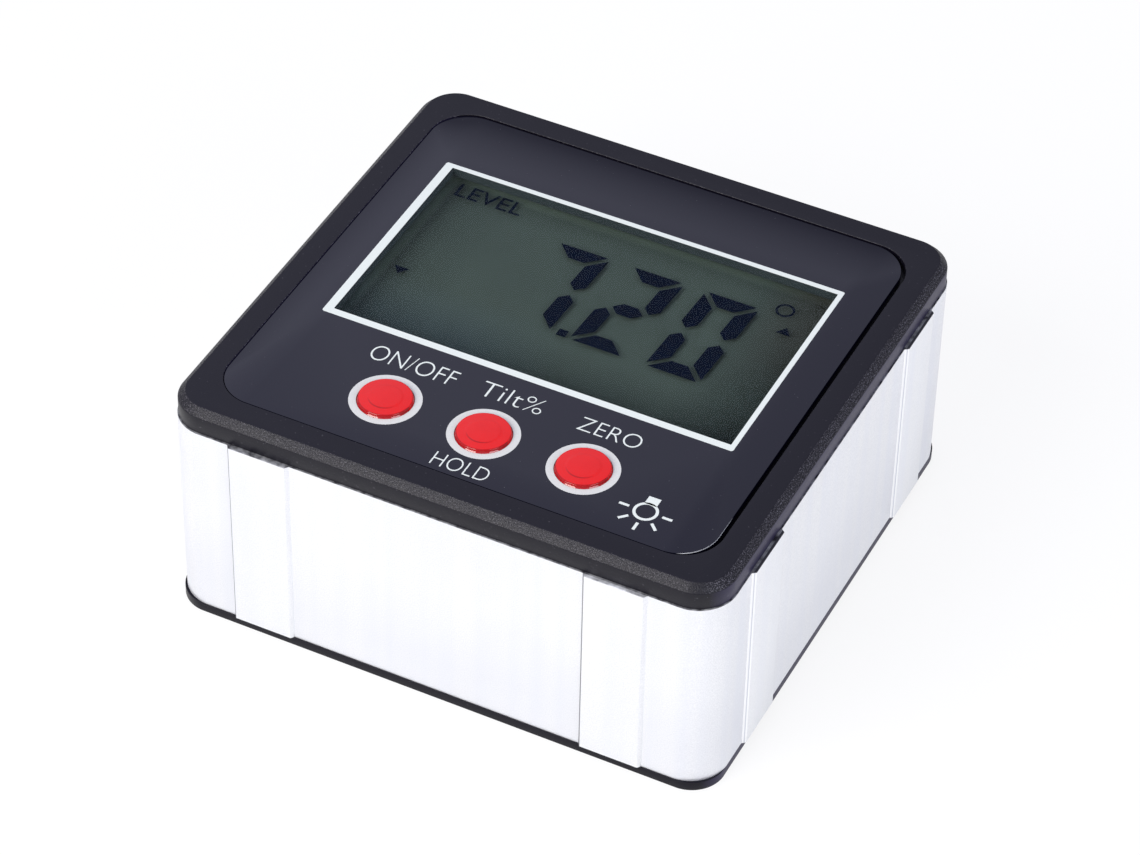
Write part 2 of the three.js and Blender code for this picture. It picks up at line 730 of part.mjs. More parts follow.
function keyCap(x) {
  const edgeZ = panelTop + capProud;
  const roundMiddle = capEdge * (1 - Math.SQRT1_2); // halfway along the rounded edge, from its corner
  const halfwayCrown = (capCrown * 3) / 4; // a parabola's rise halfway to the middle
  const profile = [
    [0, plungerTop],
    [capFlangeRadius, plungerTop],
    [capFlangeRadius, flangeTop],
    [capRadius, flangeTop],
    [capRadius, edgeZ - capEdge],
    [capRadius - roundMiddle, edgeZ - roundMiddle],
    [capRadius - capEdge, edgeZ],
    [capRadius / 2, edgeZ + halfwayCrown],
    [0, edgeZ + capCrown],
  ];
  return turned(profile, 32).translate(x, keyCentreY, 0);
}

function keySwitch(x) {
  const top = boardTop + switchHeight;
  const body = plate(roundedRect(switchHalf, switchHalf, switchCorner, x, keyCentreY), boardTop, top, 1);
  const legs = sides.flatMap((sideX) =>
    sides.map((sideY) => {
      const inner = x + sideX * (switchHalf - switchCorner);
      const outer = x + sideX * (switchHalf + legLength);
      const y = keyCentreY + sideY * legSpacing;
      return block(Math.min(inner, outer), Math.max(inner, outer), y - legHalfWidth, y + legHalfWidth,
        boardTop, boardTop + legThickness);
    }),
  );
  const boreBottom = plungerTop - plungerLength - keyTravel - slideGap;
  return cut(join(body, ...legs), post(x, keyCentreY, plungerRadius + slideGap, boreBottom, top + overrun));
}

function keyPlunger(x) {
  return post(x, keyCentreY, plungerRadius, plungerTop - plungerLength, plungerTop);
}

// Parts on the board's lower face, in two rows beside the battery tray
const farRowFromScrews = 4.755;
const nearRowFromKeys = 0.3;
const farRowY = boardBossFarY - farRowFromScrews;
const nearRowY = keyCentreY - nearRowFromKeys;
const chipHalf = 4.0;
const chipThickness = 1.4;
const chipLegs = 8;
const chipLegPitch = 0.8;
const chipLegHalf = 0.2;
const chipLegLength = 0.9;
const chipLegThickness = 0.25;
const chipX = 4.0;
const chipY = farRowY;
const sensorHalf = 2.0;
const sensorThickness = 1.1;
const sensorX = 0;
const sensorY = nearRowY;
const crystalRadius = 1.5;
const crystalLength = 8.0;
const crystalX = -12.0;
const crystalY = farRowY;
const capacitorRadius = 2.5;
const capacitorHeight = 4.6;
const capacitorBaseHalf = 2.7;
const capacitorBase = 0.8;
const capacitorX = 12.0;
const capacitorY = nearRowY;

function controllerChip() {
  const top = boardBottom;
  const body = block(chipX - chipHalf, chipX + chipHalf, chipY - chipHalf, chipY + chipHalf,
    top - chipThickness, top);
  const legs = sides.flatMap((side) =>
    spread(chipLegs, chipLegPitch).map((along) => {
      const inner = side * (chipHalf - chipLegHalf);
      const outer = side * (chipHalf + chipLegLength);
      const low = Math.min(inner, outer);
      const high = Math.max(inner, outer);
      const z0 = top - chipLegThickness;
      return [
        block(chipX + low, chipX + high, chipY + along - chipLegHalf, chipY + along + chipLegHalf, z0, top),
        block(chipX + along - chipLegHalf, chipX + along + chipLegHalf, chipY + low, chipY + high, z0, top),
      ];
    }).flat(),
  );
  return join(body, ...legs);
}

function tiltSensor() {
  return block(sensorX - sensorHalf, sensorX + sensorHalf, sensorY - sensorHalf, sensorY + sensorHalf,
    boardBottom - sensorThickness, boardBottom);
}

function crystalCan() {
  const geometry = new THREE.CylinderGeometry(crystalRadius, crystalRadius, crystalLength, 20);
  return toSolid(geometry.rotateZ(Math.PI / 2).translate(crystalX, crystalY, boardBottom - crystalRadius));
}

function bufferCapacitor() {
  const base = block(capacitorX - capacitorBaseHalf, capacitorX + capacitorBaseHalf,
    capacitorY - capacitorBaseHalf, capacitorY + capacitorBaseHalf, boardBottom - capacitorBase, boardBottom);
  return join(base, post(capacitorX, capacitorY, capacitorRadius, boardBottom - capacitorHeight,
    boardBottom - capacitorBase / 2));
}

// Screws point up into the bezel's bosses, heads down
function screw(size, x, y, headZ) {
  const shoulder = headZ + size.headHeight;
  const profile = [
    [0, headZ],
    [size.head - size.headHeight / 3, headZ],
    [size.head, headZ + size.headHeight / 3],
    [size.head, shoulder],
    [size.radius, shoulder],
    [size.radius, shoulder + size.length - size.radius],
    [size.radius / 2, shoulder + size.length],
    [0, shoulder + size.length],
  ];
  const body = toSolid(turned(profile, 20).translate(x, y, 0));
  const half = crossWidth / 2;
  const reach = crossLength / 2;
  return cut(
    body,
    block(x - reach, x + reach, y - half, y + half, headZ - overrun, headZ + crossDepth),
    block(x - half, x + half, y - reach, y + reach, headZ - overrun, headZ + crossDepth),
  );
}

// Assembly
addPiece("front_bezel", frontBezel(), blackAbs);
addPiece("face_panel", facePanel(), panelBlack);
addPiece("panel_adhesive", panelAdhesive(), adhesive);
addPiece("display_window", windowBlock(panelBottom, panelTop, bondLine), clearAcrylic);
addPiece("aluminium_frame", aluminiumFrame(), anodised);
addPiece("back_cover", backCover(), blackAbs);
addPiece("battery_door", batteryDoor(), blackAbs);
addPiece("lcd_front_polariser", polariser(frontPolariserTop), film);
addPiece("lcd_front_glass", glassPlate(frontGlassTop, frontGlassFarY), glass);
addPiece("lcd_rear_glass", glassPlate(rearGlassTop, rearGlassFarY), glass);
addPiece("lcd_rear_polariser", polariser(rearPolariserTop), film);
addPiece("backlight_guide", backlightGuide(), milky);
addPiece("backlight_led_near", backlightLed(-1), milky);
addPiece("backlight_led_far", backlightLed(1), milky);
addPiece("elastomer_connector", elastomerConnector(), silicone);
addPiece("main_board", mainBoard(), greenBoard);
keys.forEach(({ name, x }) => {
  addPiece(`${name}_cap`, keyCap(x), redAbs);
  addPiece(`${name}_switch`, keySwitch(x), blackChip);
  addPiece(`${name}_plunger`, keyPlunger(x), milky);
});
addPiece("controller_chip", controllerChip(), blackChip);
addPiece("tilt_sensor", tiltSensor(), blackChip);
addPiece("crystal", crystalCan(), nickel);
addPiece("capacitor", bufferCapacitor(), nickel);
addPiece("battery_1", cell(1), cellWrap);
addPiece("battery_2", cell(-1), cellWrap);
addPiece("contact_bridge", contactBridge(), nickel);
addPiece("contact_positive", contactPositive(), nickel);
addPiece("contact_negative", contactNegative(), nickel);
addPiece("battery_lead_positive", batteryLead(1), redWire);
addPiece("battery_lead_negative", batteryLead(-1), blackWire);
cornerPlaces().forEach(({ x, y }, i) => {
  addPiece(`cover_screw_${i + 1}`, screw(coverScrew, x, y, coverScrew.headSink), steel);
});
boardBosses.forEach(({ x, y }, i) => {
  addPiece(`board_screw_${i + 1}`, screw(boardScrew, x, y, boardBottom - boardScrew.headHeight), steel);
});
addPiece("base_magnet_left", baseMagnet(-1), nickel);
addPiece("base_magnet_right", baseMagnet(1), nickel);

export default inclinometer;
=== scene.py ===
# %% [markdown]
# # A pocket digital inclinometer
#
# The instrument is a shallow, nearly square box. An extruded aluminium tube carries flat contact rails on all
# four sides, a black bezel with the display and three red keys closes it above, and a black cover with a
# sliding battery door closes it below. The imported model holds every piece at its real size, and this lesson
# dresses it: each visible moulding is made again with fine edges, and every surface gets its finish.

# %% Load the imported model
import math

import bmesh
import bpy
from mathutils import Matrix, Vector


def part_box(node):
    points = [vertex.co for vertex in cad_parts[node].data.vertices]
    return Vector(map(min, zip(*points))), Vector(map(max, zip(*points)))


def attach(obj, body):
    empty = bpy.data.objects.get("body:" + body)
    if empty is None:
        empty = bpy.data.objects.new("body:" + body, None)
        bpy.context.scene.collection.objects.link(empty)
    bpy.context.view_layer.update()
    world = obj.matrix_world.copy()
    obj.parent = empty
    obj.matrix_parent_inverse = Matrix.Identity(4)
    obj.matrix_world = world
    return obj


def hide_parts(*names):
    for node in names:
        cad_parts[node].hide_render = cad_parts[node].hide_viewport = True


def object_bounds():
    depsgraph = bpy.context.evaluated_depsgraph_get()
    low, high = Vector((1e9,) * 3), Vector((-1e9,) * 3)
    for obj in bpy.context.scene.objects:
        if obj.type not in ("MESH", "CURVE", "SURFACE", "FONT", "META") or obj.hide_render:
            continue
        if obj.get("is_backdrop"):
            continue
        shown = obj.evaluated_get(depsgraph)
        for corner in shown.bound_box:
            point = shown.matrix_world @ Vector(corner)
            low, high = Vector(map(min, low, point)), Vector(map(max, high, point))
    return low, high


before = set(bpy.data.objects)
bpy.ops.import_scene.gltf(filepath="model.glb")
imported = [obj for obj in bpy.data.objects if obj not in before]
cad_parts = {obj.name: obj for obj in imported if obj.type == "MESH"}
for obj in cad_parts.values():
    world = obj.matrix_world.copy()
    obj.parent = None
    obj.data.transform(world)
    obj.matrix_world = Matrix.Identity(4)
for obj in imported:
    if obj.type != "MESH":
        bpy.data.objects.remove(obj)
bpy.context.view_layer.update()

# %% [markdown]
# ## Sizes
#
# Small objects are easier to think about in millimetres, so every mesh here is drawn in millimetres and
# scaled once, when it is placed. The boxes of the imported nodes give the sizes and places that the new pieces
# have to keep, so that nothing is fitted by eye.

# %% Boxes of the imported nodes, in millimetres
MM = 0.001


def box_mm(node):
    low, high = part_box(node)
    return low / MM, high / MM


bezel_low, bezel_high = box_mm("front_bezel")
tube_low, tube_high = box_mm("aluminium_frame")
panel_low, panel_high = box_mm("face_panel")
window_low, window_high = box_mm("display_window")
door_low, door_high = box_mm("battery_door")
cover_high = box_mm("back_cover")[1]
KEYS = ("power", "hold", "zero")
key_centres = {}
for key in KEYS:
    low, high = box_mm(f"{key}_cap")
    key_centres[key] = (low + high) / 2
print("bezel", [round(v, 2) for v in bezel_high - bezel_low])

# %% [markdown]
# ## Camera
#
# The photograph was taken from above the right near corner with a long lens, which keeps the box's edges
# almost parallel. The camera looks along an azimuth and an elevation at a point near the middle of the box,
# and it is rolled a little, as a camera held by hand is.

# %% Camera at the photograph's viewing angle
CAMERA_AZIMUTH = 25.775  # degrees, from the near side towards the right
CAMERA_ELEVATION = 41.938
CAMERA_ROLL = 1.285
CAMERA_DISTANCE = 435.3
CAMERA_TARGET = Vector((0.50, -0.54, 13.5))
SENSOR_WIDTH = 36.0
IMAGE_WIDTH = 1140
FOCAL_PIXELS = 4283.0
CLIP_NEAR, CLIP_FAR = 0.01, 10  # metres

azimuth = math.radians(CAMERA_AZIMUTH)
elevation = math.radians(CAMERA_ELEVATION)
towards_camera = Vector((
    math.sin(azimuth) * math.cos(elevation),
    -math.cos(azimuth) * math.cos(elevation),
    math.sin(elevation),
))
camera_data = bpy.data.cameras.new("camera")
camera_data.sensor_width = SENSOR_WIDTH
camera_data.lens = SENSOR_WIDTH * FOCAL_PIXELS / IMAGE_WIDTH
camera_data.clip_start = CLIP_NEAR
camera_data.clip_end = CLIP_FAR
camera = bpy.data.objects.new("camera", camera_data)
turn = (-towards_camera).to_track_quat("-Z", "Y").to_matrix().to_4x4()
roll = Matrix.Rotation(math.radians(CAMERA_ROLL), 4, "Z")
camera_place = (CAMERA_TARGET + towards_camera * CAMERA_DISTANCE) * MM
camera.matrix_world = Matrix.Translation(camera_place) @ turn @ roll
bpy.context.scene.collection.objects.link(camera)
bpy.context.scene.camera = camera
print("lens", round(camera_data.lens, 1), "mm")

# %% [markdown]
# ## Writing shaders as expressions
#
# A finish is a graph of nodes, but its maths reads better as Python. A `Wire` wraps a node's output, and an
# operator on it adds the Math node that does the sum. A `Finish` is one material: its `node` method adds any
# other node, and its `surface` method ends the graph with a Principled shader. Python names the colours, the
# sizes and the places, and the wires only carry what changes from point to point.


# %% Wires: sums on values that vary over a surface
class Wire:
    def __init__(self, finish, socket):
        self.finish = finish
        self.socket = socket

    def sum(self, operation, first, second, clamp=False):
        settings = {"operation": operation, "use_clamp": clamp}
        made = self.finish.node("ShaderNodeMath", settings, {0: first, 1: second})
        return Wire(self.finish, made.outputs[0])

    def __add__(self, other):
        return self.sum("ADD", self, other)

    __radd__ = __add__

    def __sub__(self, other):
        return self.sum("SUBTRACT", self, other)

    def __rsub__(self, other):
        return self.sum("SUBTRACT", other, self)

    def __mul__(self, other):
        return self.sum("MULTIPLY", self, other)

    __rmul__ = __mul__

    def __abs__(self):
        return self.sum("ABSOLUTE", self, 0)

    def larger(self, other):
        return self.sum("MAXIMUM", self, other)

    def above(self, level, blur):
        """0 below the level and 1 above it, changing over the blur's width."""
        return self.sum("MULTIPLY", self - (level - blur / 2), 1 / blur, clamp=True)

    def below(self, level, blur):
        """1 below the level and 0 above it."""
        return 1 - self.above(level, blur)


# %% Graphs: nodes added by kind, settings and sockets
class Graph:
    def __init__(self, owner):
        self.owner = owner
        owner.use_nodes = True
        self.tree = owner.node_tree
        self.tree.nodes.clear()

    def node(self, kind, settings=None, sockets=None):
        made = self.tree.nodes.new(kind)
        for key, value in (settings or {}).items():
            setattr(made, key, value)
        for key, value in (sockets or {}).items():
            if isinstance(value, Wire):
                value = value.socket
            if isinstance(value, bpy.types.NodeSocket):
                self.tree.links.new(value, made.inputs[key])
            else:
                made.inputs[key].default_value = value
        return made

    def wire(self, kind, output=0, settings=None, sockets=None):
        return Wire(self, self.node(kind, settings, sockets).outputs[output])

    def mix(self, first, second, share):
        """A colour between two, by a wire from 0 to 1."""
        made = self.node("ShaderNodeMix", {"data_type": "RGBA"}, {0: share, 6: first, 7: second})
        return made.outputs[2]

    def end(self, shader, kind="ShaderNodeOutputMaterial"):
        out = self.node(kind)
        self.tree.links.new(shader, out.inputs[0])
        print(f"{self.owner.name}: {len(self.tree.nodes)} nodes")


# %% Finishes: one material each, measured in millimetres
class Finish(Graph):
    def __init__(self, name):
        self.material = bpy.data.materials.new(name)
        super().__init__(self.material)
        coordinates = self.node("ShaderNodeTexCoord")
        scaled = self.node("ShaderNodeVectorMath", {"operation": "SCALE"},
                           {"Vector": coordinates.outputs["Object"], "Scale": 1 / MM})
        self.place = scaled.outputs[0]

    def axis(self, name):
        """The place along X, Y or Z, in millimetres."""
        return self.wire("ShaderNodeSeparateXYZ", name, None, {0: self.place})

    def facing(self, name):
        """How much the surface faces along X, Y or Z, from -1 to 1."""
        normal = self.node("ShaderNodeNewGeometry").outputs["Normal"]
        return self.wire("ShaderNodeSeparateXYZ", name, None, {0: normal})

    def noise(self, size, detail=2.0, stretch=(1, 1, 1)):
        """Soft noise from 0 to 1 whose spots are about the size given, in millimetres."""
        mapped = self.node("ShaderNodeMapping", None, {"Vector": self.place, "Scale": stretch})
        return self.wire("ShaderNodeTexNoise", 0, None,
                         {"Vector": mapped.outputs[0], "Scale": 1 / size, "Detail": detail})

    def surface(self, colour, roughness, height=None, depth=0.0, **constants):
        """Ends the graph. The height, from 0 to 1, is raised by the depth in millimetres."""
        sockets = {"Base Color": colour, "Roughness": roughness}
        for key, value in constants.items():
            sockets[key.replace("_", " ").title().replace("Ior", "IOR")] = value
        if height is not None:
            bump = self.node("ShaderNodeBump", None, {"Distance": depth * MM, "Height": height})
            sockets["Normal"] = bump.outputs[0]
        shader = self.node("ShaderNodeBsdfPrincipled", None, sockets)
        self.end(shader.outputs[0])
        return self.material


def rgb(red, green, blue):
    """A colour as a screen shows it, from 0 to 255, made linear for the shaders."""
    def linear(value):
        share = value / 255
        return share / 12.92 if share <= 0.04045 else ((share + 0.055) / 1.055) ** 2.4
    return (linear(red), linear(green), linear(blue), 1)


print("sample colour", [round(v, 3) for v in rgb(48, 48, 58)])

# %% [markdown]
# ## Finishes that show
#
# Each finish starts from how the real surface is made. The bezel and cover are moulded against a spark-eroded
# tool, which leaves a fine grain, strongest on the bezel's chamfer. A picture of such a grain could be laid
# on, but noise at the grain's own size needs no unwrapping and stays sharp close up. Within a finish, a mask
# from 0 to 1 picks out a part of the piece by its place or by the way it faces, and another colour is mixed in.

# %% Black moulding, with the grain of its tool
MOULDING_BLACK = rgb(8, 6, 18)
# painted light: upright walls that face right are lighter and purplish
RIGHT_WALL_PAINTED_LIGHT = rgb(38, 33, 62)
GLINT_AND_DUST_GREY = rgb(69, 67, 73)
GLINT_AND_DUST_LIT_RIGHT = rgb(96, 94, 103)  # painted light: paler on faces turned to the right
GRAIN_SIZE = 0.16
GRAIN_DEPTH = 0.065
GLINT_SIZE = 0.11
FLAT_GRAIN = 0.15  # share of the grain's depth that is left on flat faces


def black_moulding(name, shine):
    """Painted glints lie in the chamfer's grain, but few where it turns the corner, which stands in shade.
    Walls that face right get painted light.
    """
    finish = Finish(name)
    turned = finish.facing("X")
    rise = abs(finish.facing("Z"))
    chamfer = rise.above(0.5, 0.2) * rise.below(0.93, 0.05)
    # the corner stands in shade, so it gets fewer painted glints
    corner = turned.above(0.12, 0.12) * turned.below(0.42, 0.12)
    # painted light on the upright walls that face right
    lit_right_walls = turned.above(0.82, 0.36) * rise.below(0.4, 0.3)
    grain = finish.noise(GRAIN_SIZE, 3)
    cloud = finish.noise(6.0)
    # painted highlight: glints in the chamfer's grain; real dust shares their grey
    painted_glints = finish.noise(GLINT_SIZE, 2).above(0.60, 0.16) * chamfer * (1 - corner * 0.8)
    dust = finish.noise(0.3, 1).above(0.74, 0.03) * 0.5
    glint_and_dust = finish.mix(GLINT_AND_DUST_GREY, GLINT_AND_DUST_LIT_RIGHT, turned.above(0.5, 0.3))
    black = finish.mix(MOULDING_BLACK, RIGHT_WALL_PAINTED_LIGHT, lit_right_walls)
    colour = finish.mix(black, glint_and_dust, painted_glints.larger(dust))
    roughness = 0.34 + cloud * 0.08 + grain * (0.04 + chamfer * 0.16) + abs(turned).above(0.78, 0.3) * 0.04
    height = grain * (FLAT_GRAIN + chamfer * (1 - FLAT_GRAIN))
    return finish.surface(colour, roughness, height, GRAIN_DEPTH, specular_ior_level=shine)


BEZEL_MOULDING = black_moulding("bezel_moulding", 0.32)
COVER_MOULDING = black_moulding("cover_moulding", 0.16)

# %% [markdown]
# The face panel is glossy sheet with a breath of unevenness and some dust. A perfectly flat black gloss would
# look like a hole, so a very shallow bump bends what it mirrors. The window's cut edge gets painted light in
# the display's grey-green, and the bevelled rim gets a painted highlight at the near right corner.

# %% Glossy printed panel
PANEL_BLACK = rgb(8, 7, 24)
DUST_GREY = rgb(60, 60, 66)
# painted light: the window's cut edge takes the lit grey-green of the display beside it
CUT_EDGE_PAINTED_LIGHT = rgb(46, 54, 56)
CUT_EDGE_PAINTED_LIGHTER = rgb(64, 73, 76)  # painted light, paler on faces turned to the right
WINDOW_EDGE = 0.1  # beside the window, where its cut edge gets painted light
RIM_HEIGHT = 0.1  # below the panel's face, where its bevelled rim lies
GLINT_START = 45  # x less y, past which the rim's near right corner gets its painted highlight
# painted highlight on the bevelled rim
RIM_PAINTED_GLINT = rgb(205, 207, 211)


def between(value, low, high):
    """1 where a wire lies between two levels, and 0 elsewhere."""
    return (value - low).above(0, 0.02) * (high - value).above(0, 0.02)


def panel_gloss():
    finish = Finish("panel_gloss")
    x, y, z = (finish.axis(name) for name in "XYZ")
    cloud = finish.noise(9.0)
    dust = finish.noise(0.22, 1).above(0.80, 0.02)
    colour = finish.mix(PANEL_BLACK, DUST_GREY, dust)
    in_window = between(x, window_low.x - WINDOW_EDGE, window_high.x + WINDOW_EDGE)
    in_window = in_window * between(y, window_low.y - WINDOW_EDGE, window_high.y + WINDOW_EDGE)
    # painted light on the window's cut edge
    painted_cut_edge = finish.mix(CUT_EDGE_PAINTED_LIGHT, CUT_EDGE_PAINTED_LIGHTER, finish.facing("X").above(0.5, 0.2))
    colour = finish.mix(colour, painted_cut_edge, in_window * z.below(panel_high.z - 0.05, 0.02))
    sloping = (1 - finish.facing("Z")).above(0.08, 0.06)
    rim = sloping * z.above(panel_high.z - RIM_HEIGHT, 0.02) * (1 - in_window)
    # painted highlight on the rim at the near right corner
    painted_rim_glint = rim * (x - y).above(GLINT_START, 1) * finish.facing("X").above(0.42, 0.15)
    colour = finish.mix(colour, RIM_PAINTED_GLINT, painted_rim_glint * 0.9)
    roughness = 0.07 + cloud * 0.05 + dust * 0.4
    return finish.surface(colour, roughness, finish.noise(2.5), 0.0006, specular_ior_level=0.47)


PANEL_GLOSS = panel_gloss()

# %% [markdown]
# The white marks are printed with a dull ink that lies thicker in some spots than in others. The line round
# the window and the legends are a shade paler than the rings round the keys, so one recipe makes two inks.

# %% White ink of the frame line, the legends and the rings
DENSE_WHITE = rgb(240, 241, 241)  # where the ink lies thick


def white_ink(name, colour):
    finish = Finish(name)
    grain = finish.noise(0.12)
    tint = finish.mix(colour, DENSE_WHITE, grain.above(0.6, 0.4) * 0.25)
    return finish.surface(tint, 0.35 + grain * 0.15)


LINE_INK = white_ink("line_ink", rgb(210, 216, 211))
RING_INK = white_ink("ring_ink", rgb(196, 197, 194))

# %% [markdown]
# The keys are moulded in glossy red plastic. One plain red would do from afar, but close up their slopes that
# face the near side stand in shade, and the foot of each cap draws a bright arc. So a mask by the way the
# surface faces paints that shade as a deeper red, and the clear coat is strong only on the foot.

# %% Red keys
KEY_RED = rgb(203, 3, 5)
KEY_RED_PALER = rgb(213, 6, 8)
# painted shade on the slopes that face the near side
KEY_RED_PAINTED_SHADE = rgb(158, 0, 5)
FOOT_TOP = 0.10  # above the panel's face, where the foot's bright coat ends
THIN_COAT = 0.25


def red_gloss():
    finish = Finish("red_gloss")
    cloud = finish.noise(1.6)
    colour = finish.mix(KEY_RED, KEY_RED_PALER, cloud)
    # painted shade: slopes that face the near side are deepened to a darker red
    steep = (1 - finish.facing("Z")).above(0.0035, 0.003)
    near_slope_shade = (0 - finish.facing("Y")).above(0.08, 0.06)
    colour = finish.mix(colour, KEY_RED_PAINTED_SHADE, steep * near_slope_shade)
    foot = (panel_high.z + FOOT_TOP - finish.axis("Z")).above(0, 0.03)
    coat = THIN_COAT + foot * (1 - THIN_COAT)
    return finish.surface(colour, 0.07 + cloud * 0.05, finish.noise(1.1), 0.002,
                          coat_weight=coat, coat_roughness=0.03, specular_ior_level=0.27)


RED_GLOSS = red_gloss()

# %% [markdown]
# The tube is bead-blasted and then anodised, so it is pale, soft and very finely speckled, with faint lines
# along the extrusion. A fully metallic surface would mirror too much of the room, so this one is metallic in
# part. Masks by place pick out the rails, the painted highlights and painted shade on their flanks, painted
# shade towards the table, and the rails' upper ends, which are darker and ragged.

# %% Aluminium: where the tube's finish changes
SATIN_PALE = rgb(248, 248, 249)
SATIN_GREY = rgb(224, 225, 228)
DRAWN_GREY = rgb(224, 227, 237)  # faint lines along the extrusion
CLOUD_GREY = rgb(222, 223, 228)
SIDE_RAIL_PALE = rgb(246, 247, 249)
LOWER_PAINTED_SHADE = rgb(200, 201, 209)
SHADED_FLANK = rgb(120, 120, 126)
# painted highlights on the side rails' near flanks, and painted shade between them
FLANK_PAINTED_HIGHLIGHT = rgb(255, 255, 255)
FLANK_PAINTED_SHADE = rgb(200, 202, 211)
RAIL_END_DARK = rgb(52, 51, 58)
FLANK_FOOT = 0.37  # from a side rail's face to where its flank starts
FLANK_MIDDLE = 0.17
LOWER_END = 10  # height under which painted shade greys the tube towards the table
ALONG = (1, 1, 0.02)  # stretches noise along the extrusion


def tube_masks(finish):
    """Masks of the left and right rails, of the near and far rails, and of the near half."""
    side_rails = abs(finish.axis("X")).above(tube_high.x - 0.3, 0.1)
    end_rails = abs(finish.axis("Y")).above(tube_high.y - 0.35, 0.04)
    near = (0 - finish.axis("Y")).above(0, 1)
    return side_rails, end_rails, near


def painted_flank_lines(finish, pale):
    """Paints two bright highlight lines on the near flanks of the left and right rails, with a greyer line of
    painted shade between them.
    """
    out = abs(finish.axis("X"))
    flank = out.above(tube_high.x - FLANK_FOOT, 0.02) * (0 - finish.facing("Y")).above(0.3, 0.1)
    flank_middle_shade = flank - abs(out - (tube_high.x - FLANK_MIDDLE)).above(0.05, 0.04)
    pale = finish.mix(pale, FLANK_PAINTED_HIGHLIGHT, flank * 0.9)
    return finish.mix(pale, FLANK_PAINTED_SHADE, flank_middle_shade.above(0.5, 0.4) * 0.75)


# %% Aluminium of the tube
def blasted_aluminium():
    finish = Finish("blasted_aluminium")
    side_rails, end_rails, near = tube_masks(finish)
    speckle = finish.noise(0.13, 2)
    drawn = finish.noise(0.5, 2, ALONG)
    cloud = finish.noise(14.0)
    bands = finish.noise(2.2, 1, ALONG).above(0.55, 0.3)
    pale = finish.mix(SATIN_GREY, SATIN_PALE, speckle.above(0.5, 0.6))
    pale = finish.mix(pale, DRAWN_GREY, bands * 0.35)
    pale = finish.mix(pale, CLOUD_GREY, cloud.above(0.6, 0.5) * 0.35)
    pale = finish.mix(pale, SIDE_RAIL_PALE, side_rails * 0.3)
    # painted shade: the tube greys towards the table, but not on its rails
    painted_low_shade = (LOWER_END - finish.axis("Z")).above(0, 9) * (1 - side_rails.larger(end_rails))
    pale = finish.mix(pale, LOWER_PAINTED_SHADE, painted_low_shade * 0.22)
    # painted shade on the left flanks of the near rails
    shaded_left_flanks = end_rails * near * (0 - finish.facing("X")).above(0.4, 0.2)
    pale = finish.mix(pale, SHADED_FLANK, shaded_left_flanks)
    pale = painted_flank_lines(finish, pale)
    # the rails' upper ends are darker and ragged, but paler at the near rail on the right
    ragged = finish.noise(0.35, 3, (0.4, 0.4, 1)).above(0.5, 0.35)
    ends = finish.axis("Z").above(tube_high.z - 0.06, 0.04)
    paler_end = end_rails * near * finish.axis("X").above(0, 1)
    dark = ends * (0.45 + ragged * 0.55 - paler_end * 0.4).larger(side_rails * 0.96)
    colour = finish.mix(pale, RAIL_END_DARK, dark)
    roughness = 0.34 + speckle * 0.16 + ends * 0.25
    return finish.surface(colour, roughness, speckle + drawn * 0.4, 0.008, metallic=0.72)


BLASTED_ALUMINIUM = blasted_aluminium()
print(len(bpy.data.materials), "finishes so far")

# %% [markdown]
# ## Modelling kit
#
# Nearly every piece of this box is a rounded rectangle that changes size as it rises. Where a piece is joined
# or cut by another, `combine` does it with Boolean modifiers. Edges are softened with a small bevel, because a
# moulded or machined edge is never sharp and catches the light.


# %% Rings and skins
def ring(bm, half_x, half_y, radius, z, centre=(0, 0), steps=14):
    """Adds the loop of a rounded rectangle and returns its edges."""
    verts = bmesh.ops.create_circle(bm, segments=4 * steps, radius=radius)["verts"]
    half_step = Matrix.Rotation(math.pi / (4 * steps), 3, "Z")
    bmesh.ops.rotate(bm, verts=verts, cent=(0, 0, 0), matrix=half_step)
    for side_x in (-1, 1):
        for side_y in (-1, 1):
            quarter = [v for v in verts if v.co.x * side_x > 0 and v.co.y * side_y > 0]
            move = (side_x * (half_x - radius), side_y * (half_y - radius), 0)
            bmesh.ops.translate(bm, verts=quarter, vec=move)
    bmesh.ops.translate(bm, verts=verts, vec=(*centre, z))
    return [edge for edge in bm.edges if edge.verts[0] in verts]


def skin(bm, loops, closed=False):
    """Joins each loop to the next with faces, and the last to the first if closed."""
    ends = loops[1:] + loops[:1] if closed else loops[1:]
    for first, second in zip(loops, ends):
        bmesh.ops.bridge_loops(bm, edges=first + second)


def soften(bm, edges, width, segments=3):
    bmesh.ops.bevel(bm, geom=edges, offset=width, offset_type="OFFSET", affect="EDGES",
                    segments=segments, profile=0.5, material=-1, clamp_overlap=True)


def sharp_edges(bm, wanted, least=30):
    """The edges whose faces meet at more than an angle and whose middle the test wants."""
    return [
        edge for edge in bm.edges
        if len(edge.link_faces) == 2 and edge.calc_face_angle(0) > math.radians(least)
        and wanted((edge.verts[0].co + edge.verts[1].co) / 2)
    ]


# %% Plain solids, each in a bmesh of its own
OVERRUN = 1.0  # how far a cutter runs past what it cuts
FINE_STEPS = 20  # steps in a corner that shows


def block(low, high):
    bm = bmesh.new()
    bmesh.ops.create_cube(bm, size=1)
    low, high = Vector(low), Vector(high)
    bmesh.ops.scale(bm, vec=high - low, verts=bm.verts)
    bmesh.ops.translate(bm, vec=(low + high) / 2, verts=bm.verts)
    return bm


def post(x, y, radius, z0, z1, steps=48):
    bm = bmesh.new()
    bmesh.ops.create_cone(bm, cap_ends=True, segments=steps, radius1=radius, radius2=radius, depth=z1 - z0)
    bmesh.ops.translate(bm, vec=(x, y, (z0 + z1) / 2), verts=bm.verts)
    return bm


